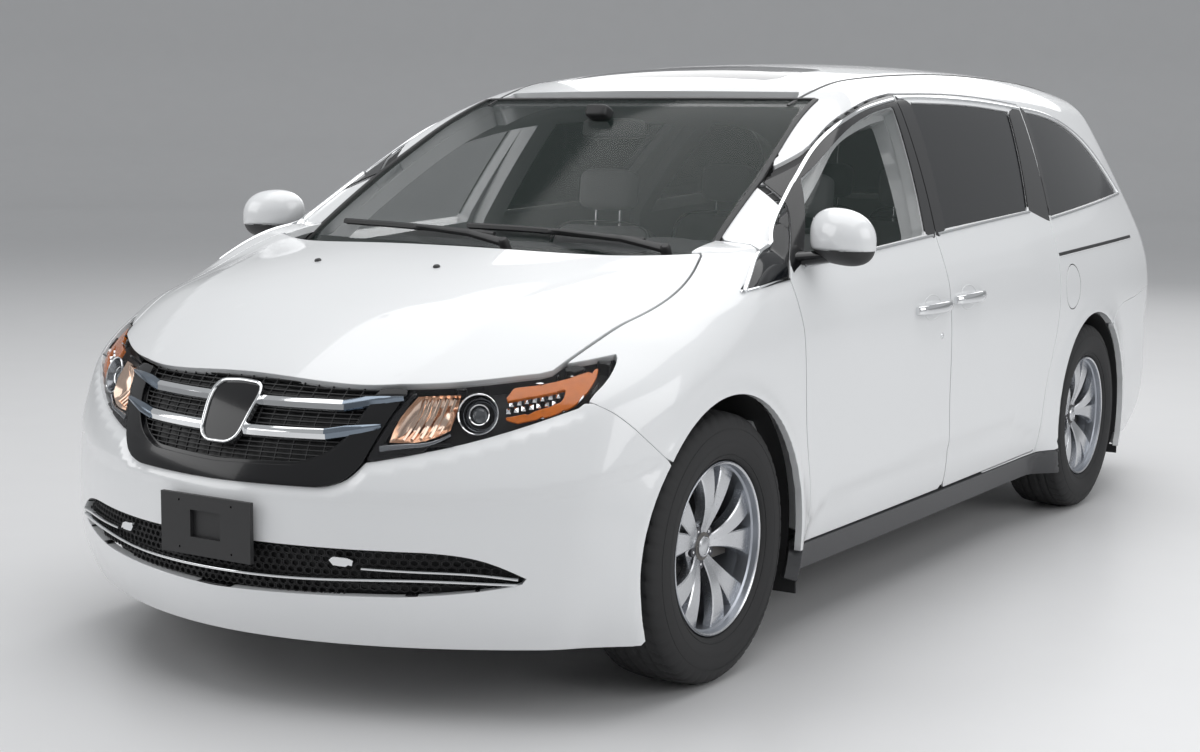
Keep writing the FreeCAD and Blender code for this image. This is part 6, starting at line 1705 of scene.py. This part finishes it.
def leant(shape, lean, centre):
    """Points leaned back and moved to a centre."""
    c, s = math.cos(lean), math.sin(lean)
    x, y, z = shape.T
    return np.stack([x, y * c + z * s, z * c - y * s], -1) + np.asarray(centre, float)


def pillow(centre, half, lean=0.0, crown=0.35, pinch=0.05, rows=10):
    """A crowned closed cushion: a rounded box whose sides pull in between its corners, leaning back."""
    u = np.linspace(-1, 1, rows)
    faces, vertices = [], []
    for axis in range(3):
        for sign in (-1, 1):
            a, b = np.meshgrid(u, u, indexing="ij")
            p = np.zeros(a.shape + (3,))
            p[..., axis] = sign
            p[..., (axis + 1) % 3], p[..., (axis + 2) % 3] = a, b
            index = np.arange(rows * rows).reshape(rows, rows) + len(vertices) * rows * rows
            q = np.stack([index[:-1, :-1], index[1:, :-1], index[1:, 1:], index[:-1, 1:]], -1).reshape(-1, 4)
            faces.append(q if sign > 0 else q[:, ::-1])
            vertices.append(p.reshape(-1, 3))
    p = np.concatenate(vertices)
    q = np.concatenate(faces)
    ball = p / (np.abs(p) ** 5).sum(1, keepdims=True) ** 0.2
    shape = ball * (1 - pinch * (1 - ball[:, [1, 2, 0]] ** 2) * np.abs(ball) ** 4)
    flat = (1 - ball[:, 0] ** 2) * (1 - ball[:, 2] ** 2)
    shape[:, 1] *= 1 + crown * (flat - 0.5)
    shape = shape * np.asarray(half, float)
    vertices = np.round(leant(shape, lean, centre), 6)
    unique, back = np.unique(vertices, axis=0, return_inverse=True)
    q = back.reshape(-1)[q]
    return closed_part(unique, [], q)


def filled(part, cap):
    v, _, t, q = part
    mesh = bpy.data.meshes.new("pad")
    mesh.from_pydata(v.tolist(), [], q.tolist())
    pad = bpy.data.objects.new("pad", mesh)
    bpy.context.scene.collection.objects.link(pad)
    remesh = pad.modifiers.new("remesh", "REMESH")
    remesh.mode, remesh.voxel_size = "VOXEL", 0.015
    view_layer = bpy.context.view_layer
    view_layer.update()
    start = bpy.data.meshes.new_from_object(pad.evaluated_get(bpy.context.evaluated_depsgraph_get()))
    pad.modifiers.clear()
    pad.data = start
    cloth = pad.modifiers.new("cloth", "CLOTH")
    cloth.settings.quality = 4
    cloth.settings.mass = 0.3
    cloth.settings.use_pressure = True
    cloth.settings.uniform_pressure_force = 4
    cloth.settings.effector_weights.gravity = 0
    cloth.settings.tension_stiffness = cloth.settings.compression_stiffness = 15
    cloth.point_cache.frame_start, cloth.point_cache.frame_end = 1, 20
    for frame_number in range(1, 21):
        bpy.context.scene.frame_set(frame_number)
    shown = bpy.data.meshes.new_from_object(pad.evaluated_get(bpy.context.evaluated_depsgraph_get()))
    places = np.empty(len(shown.vertices) * 3)
    shown.vertices.foreach_get("co", places)
    places = places.reshape(-1, 3)
    before = np.empty(len(start.vertices) * 3)
    start.vertices.foreach_get("co", before)
    shift = places - before.reshape(-1, 3)
    length = np.linalg.norm(shift, axis=1, keepdims=True)
    places = before.reshape(-1, 3) + shift * np.minimum(1, cap / np.maximum(length, 1e-9))
    quads = [tuple(face.vertices) for face in shown.polygons if len(face.vertices) == 4]
    triangles = [tuple(face.vertices) for face in shown.polygons if len(face.vertices) == 3]
    bpy.data.objects.remove(pad)
    return places, np.array(triangles, int).reshape(-1, 3), np.array(quads, int).reshape(-1, 4)


pad_forms = {}
PAD_SHIFT = 0.012


def cushion(name, centre, half, lean=0.0, crown=0.3, seams=False):
    """One stuffed pad; pads of one size share one filling."""
    key = (half, crown)
    if key not in pad_forms:
        pad_forms[key] = filled(pillow((0, 0, 0), half, crown=crown), PAD_SHIFT)
    places, triangles, quads = pad_forms[key]
    v = places.copy()
    if seams:
        for line in (-0.42, 0.42):
            dent = np.exp(-((v[:, 0] / half[0] - line) / 0.035) ** 2) * (np.abs(v[:, 2]) < half[2] * 0.93)
            v[:, 1] -= np.sign(v[:, 1]) * 0.006 * dent
    part = leant(v, lean, centre), None, triangles, quads
    piece = add_part(name, part, seat_cloth, angle=None)
    return piece


def piping(centre, half, lean):
    """Sewn cord round a pad's front edge."""
    turn = circle(72)
    c, s = np.cos(turn), np.sin(turn)
    x = np.sign(c) * np.abs(c) ** 0.42 * half[0] * 0.955
    z = np.sign(s) * np.abs(s) ** 0.42 * half[2] * 0.955
    points = leant(np.stack([x, np.full_like(x, -half[1] * 0.55), z], -1), lean, centre)
    return sweep(points, (0, -math.cos(lean), math.sin(lean)), oval(0.006, 0.006, 8), closed=True)


BACK_LEAN = 0.22


def seat_row(name, y, z, centres, width, back_height, row_nodes, rests, floor):
    """Cushions, backs, headrests, side shells and legs of one row."""
    back_half = (width / 2 * 0.96, 0.058, back_height / 2)
    back_y, back_z = y + 0.505, z + back_height / 2 + 0.035
    for number, x in enumerate(centres):
        tag = name + "_" + str(number)
        seat = cushion(tag + "_cushion", (x, y + 0.215, z), (width / 2, 0.235, 0.062), 0.075, crown=0.15)
        cushion(tag + "_back", (x, back_y, back_z), back_half, BACK_LEAN, crown=0.3, seams=True)
        if number == 0:
            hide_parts(row_nodes)
    seams, shells = [], []
    for x in centres:
        seams.append(piping((x, back_y, back_z), back_half, BACK_LEAN))
        base = pillow((x, y + 0.215, z - 0.075), (width / 2 * 0.9, 0.215, 0.036), 0.04, crown=0.0)
        back = pillow((x, y + 0.552, z + back_height / 2 + 0.03), (width / 2 * 0.88, 0.034, back_height / 2 * 0.93),
                      BACK_LEAN, crown=0.0)
        shells += [base, back]
        for dx in (-0.18, 0.18):
            leg = dense([(x + dx, y + 0.05, floor + 0.012), (x + dx, y + 0.1, z - 0.1), (x + dx, y + 0.33, z - 0.1),
                         (x + dx, y + 0.38, floor + 0.012)], 0.03)
            shells.append(sweep(leg, (1.0, 0, 0), oval(0.03, 0.022, 10)))
    add_part(name + "_seams", joined(*seams), seat_thread)
    add_part(name + "_shells", joined(*shells), seat_shell)
    posts = []
    for number, x in enumerate(rests):
        top_z = z + back_height + 0.07
        lean_y = back_y + BACK_LEAN * (back_height / 2 + 0.06)
        cushion(name + "_headrest_" + str(number), (x, lean_y - 0.004, top_z + 0.068), (0.118, 0.048, 0.078), 0.12,
                crown=0.25)
        for dx in (-0.052, 0.052):
            post = np.array([(x + dx, lean_y - 0.016, top_z - 0.1), (x + dx, lean_y - 0.004, top_z + 0.03)])
            posts.append(sweep(post, (1.0, 0, 0), oval(0.011, 0.011, 10)))
    add_part(name + "_posts", joined(*posts), chrome)


seat_row("front_seat", 1.01, 0.56, (-0.395, 0.395), 0.5, 0.56, "front_seats", (-0.395, 0.395), 0.29)
seat_row("middle_seat", 1.93, 0.6, (-0.395, 0.395), 0.5, 0.53, "middle_seats", (-0.395, 0.395), 0.29)
seat_row("rear_bench", 2.885, 0.65, (-0.4, 0.0, 0.4), 0.395, 0.48, "rear_bench", (-0.4, 0.0, 0.4), 0.43)

dash_rows = []
for share in np.linspace(-1, 1, 61):
    x = share * 0.7
    hump = 0.034 * math.exp(-((x - 0.38) / 0.2) ** 2)
    pull = 0.05 * abs(share) ** 3
    section = np.array([
        (0.48, 0.8), (0.478, 1.02), (0.45 + pull, 1.07), (0.44 + pull, 1.088), (0.52, 1.104),
        (0.62, 1.112 + hump * 0.4), (0.71, 1.112 + hump), (0.768 - pull * 0.3, 1.1 + hump), (0.79, 1.08 + hump),
        (0.792, 1.05), (0.776, 0.99), (0.765, 0.905), (0.735, 0.83), (0.69, 0.775), (0.56, 0.765),
    ])
    dash_rows.append(np.stack([np.full(len(section), x), section[:, 0], section[:, 1]], -1))
add_part("dash", loft(dash_rows), dash_top, replaces="dashboard", angle=50)
console_parts = [pillow((0, 0.8, 0.64), (0.115, 0.1, 0.155), 0.3, crown=0.0, pinch=0.0),
                 pillow((0, 1.18, 0.47), (0.1, 0.29, 0.105), 0.0, crown=0.0, pinch=0.0)]
add_part("console", joined(*console_parts), dash_light, angle=60)
vent_parts = []
for x in (-0.6, -0.155, 0.155, 0.6):
    for k in range(4):
        slat = np.array([(x - 0.048, 0.8, 0.985 + 0.016 * k), (x + 0.048, 0.8, 0.985 + 0.016 * k)])
        vent_parts.append(sweep(slat, (0, 1.0, 0), rounded_bar(0.007, 0.006, 0.002, -0.01)))
add_part("dash_vents", joined(*vent_parts), black_gloss)

hub_at = np.array([0.395, 0.955, 0.948])
wheel_axis = np.array([0, 0.9, 0.43]) / np.hypot(0.9, 0.43)
turn = circle(96)
wheel_side = np.array([1.0, 0, 0])
wheel_up = np.cross(wheel_axis, wheel_side)
hoop = hub_at + 0.186 * (np.cos(turn)[:, None] * wheel_side + np.sin(turn)[:, None] * wheel_up)
grip = 1 + 0.1 * (np.abs(np.cos(turn)) > 0.78)
wheel_bits = [sweep(hoop, wheel_axis, oval(0.031, 0.027, 14), np.stack([grip, grip], -1),
                    closed=True)]
for angle in (-6, 186, 255, 285):
    way = math.cos(math.radians(angle)) * wheel_side + math.sin(math.radians(angle)) * wheel_up * (
        -1 if wheel_up[2] < 0 else 1)
    reach = np.linspace(0.045, 0.184, 14)
    path = hub_at + way * reach[:, None] - wheel_axis * (0.03 * (1 - (reach / 0.19) ** 2))[:, None]
    taper = np.interp(reach, [0.045, 0.1, 0.184], [1.5, 1.0, 0.85])
    wheel_bits.append(sweep(path, wheel_axis, rounded_bar(0.03, 0.012, 0.004, -0.004),
                            taper))
wheel_bits.append(turned([(-0.055, 0.0), (-0.055, 0.05), (-0.036, 0.074), (-0.016, 0.07), (-0.006, 0.045),
                          (-0.003, 0.0)], hub_at, wheel_axis, 48))
wheel_bits.append(turned([(-0.3, 0.0), (-0.3, 0.03), (-0.05, 0.034), (-0.05, 0.0)], hub_at, wheel_axis, 28))
add_part("steering_wheel_mesh", joined(*wheel_bits), dash_top, replaces="steering_wheel",
         angle=50)
inner_glass = pillow((0, 0.985, 1.478), (0.118, 0.016, 0.033), 0.1, crown=0.2, pinch=0.0)
stalk = dense([(0, 0.98, 1.49), (0, 0.955, 1.512), (0, 0.905, 1.53)], 0.01)
add_part("inner_mirror_mesh", joined(inner_glass, sweep(stalk, (1.0, 0, 0),
                                                          oval(0.024, 0.02, 12)),
                                       pillow((0, 0.895, 1.528), (0.04, 0.032, 0.022), 0.4, crown=0.0, pinch=0.0)),
         black_plastic, replaces="inner_mirror", angle=60)

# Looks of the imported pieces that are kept

alloy = shader("alloy", (0.56, 0.57, 0.59), 0.3, metallic=1.0, grain=(30.0, 0.0), rough_spread=0.04)
dark_metal = shader("dark_metal", (0.1, 0.1, 0.1), 0.55, metallic=0.8, grain=(80.0, 0.3))
cast = shader("cast", (0.2, 0.19, 0.18), 0.6, metallic=0.9, grain=(120.0, 0.5))
cloth = shader("cloth", (0.17, 0.17, 0.175), 0.9, grain=(1500.0, 0.4), mottle=0.2, sheen=0.3)
dash_skin = shader("dash_skin", (0.09, 0.09, 0.095), 0.6, grain=(700.0, 0.3))
sealer = shader("sealer", (0.12, 0.12, 0.125), 0.6, grain=(60.0, 0.2))
finishes = {
    "tyre": tyre_rubber, "alloy": alloy, "cast_metal": cast, "chassis_black": dark_metal, "engine_metal": cast,
    "tank_plastic": black_plastic, "exhaust_steel": cast, "dash_grey": dash_skin, "wheel_leather": dash_skin,
    "seat_fabric": cloth, "wiper_black": black_plastic, "liner_black": black_plastic, "flap_rubber": rubber,
    "trim_black": black_plastic, "grille_black": black_gloss, "chrome_trim": chrome, "lamp_glass": grey_glass,
    "lamp_red": red_lens, "body_white": paint, "body_primer": sealer, "side_glass": green_glass,
    "windshield_glass": green_glass, "dark_glass": grey_glass,
}
slot_of = {row["node"]: row["material_slot"] for row in frame["record"]["subparts"]}
for name, node in frame["nodes"].items():
    for material_slot in node.material_slots:
        material_slot.material = finishes[slot_of[name]]

# Camera, floor and light

YAW, PITCH, ROLL = math.radians(32.48), math.radians(7.27), 0.0109
forward = Vector((-math.sin(YAW) * math.cos(PITCH), math.cos(YAW) * math.cos(PITCH), -math.sin(PITCH)))
level = Vector((math.cos(YAW), math.sin(YAW), 0))
upright = level.cross(forward)
right = level * math.cos(ROLL) + upright * math.sin(ROLL)
upward = upright * math.cos(ROLL) - level * math.sin(ROLL)
camera_data = bpy.data.cameras.new("camera")
camera_data.sensor_width = 36
camera_data.lens = 56.263
camera_data.clip_end = 200
camera = bpy.data.objects.new("camera", camera_data)
camera.matrix_world = Matrix((
    (right.x, upward.x, -forward.x, 3.31798),
    (right.y, upward.y, -forward.y, -4.29611 + AXLE_Y),
    (right.z, upward.z, -forward.z, 1.45112),
    (0, 0, 0, 1),
))
bpy.context.scene.collection.objects.link(camera)
bpy.context.scene.camera = camera

BOWL = [(20.0, 0.0), (24.0, 0.25), (27.0, 1.2), (29.0, 3.0), (30.0, 6.0)]
AROUND = 96
turns = circle(AROUND)
bowl = [(reach * math.cos(turn), reach * math.sin(turn), height) for reach, height in BOWL for turn in turns]
bowl_faces = [tuple(range(AROUND))]
for ring in range(len(BOWL) - 1):
    for k in range(AROUND):
        a, b = ring * AROUND + k, ring * AROUND + (k + 1) % AROUND
        bowl_faces.append((a, a + AROUND, b + AROUND, b))
floor_mesh = bpy.data.meshes.new("floor")
floor_mesh.from_pydata(bowl, [], bowl_faces)
floor_mesh.polygons.foreach_set("use_smooth", [True] * len(bowl_faces))
floor = bpy.data.objects.new("floor", floor_mesh)
floor_mesh.materials.append(shader("floor_paper", (0.68, 0.68, 0.685), 0.36, grain=(3.0, 0.0), mottle=0.02))
bpy.context.scene.collection.objects.link(floor)


def area_light(name, place_at, target, width, height, power):
    lamp = bpy.data.lights.new(name, "AREA")
    lamp.shape = "RECTANGLE"
    lamp.size, lamp.size_y = width, height
    lamp.energy = power
    lamp_object = bpy.data.objects.new(name, lamp)
    lamp_object.location = place_at
    heading = Vector(target) - Vector(place_at)
    lamp_object.rotation_euler = heading.to_track_quat("-Z", "Y").to_euler()
    bpy.context.scene.collection.objects.link(lamp_object)


area_light("overhead", (0, 0.5, 7.5), (0, 0.5, 0), 9, 12, 520)
area_light("front_left", (-8.0, -8.0, 5.0), (0, -1, 0.8), 8, 6, 300)
area_light("side_right", (10.0, -1.0, 5.0), (0, 0, 0.8), 9, 6, 330)
area_light("behind", (-3.0, 10.0, 6.0), (0, 1.5, 0.8), 9, 4, 220)

world = bpy.data.worlds.new("studio")
world.use_nodes = True
background = world.node_tree.nodes["Background"]
background.inputs["Color"].default_value = (0.86, 0.88, 0.9, 1)
background.inputs["Strength"].default_value = 0.5
bpy.context.scene.world = world
scene = bpy.context.scene
scene.view_settings.view_transform = "Standard"
scene.cycles.max_bounces = 6
scene.cycles.diffuse_bounces = 3
scene.cycles.glossy_bounces = 4
scene.cycles.transparent_max_bounces = 8
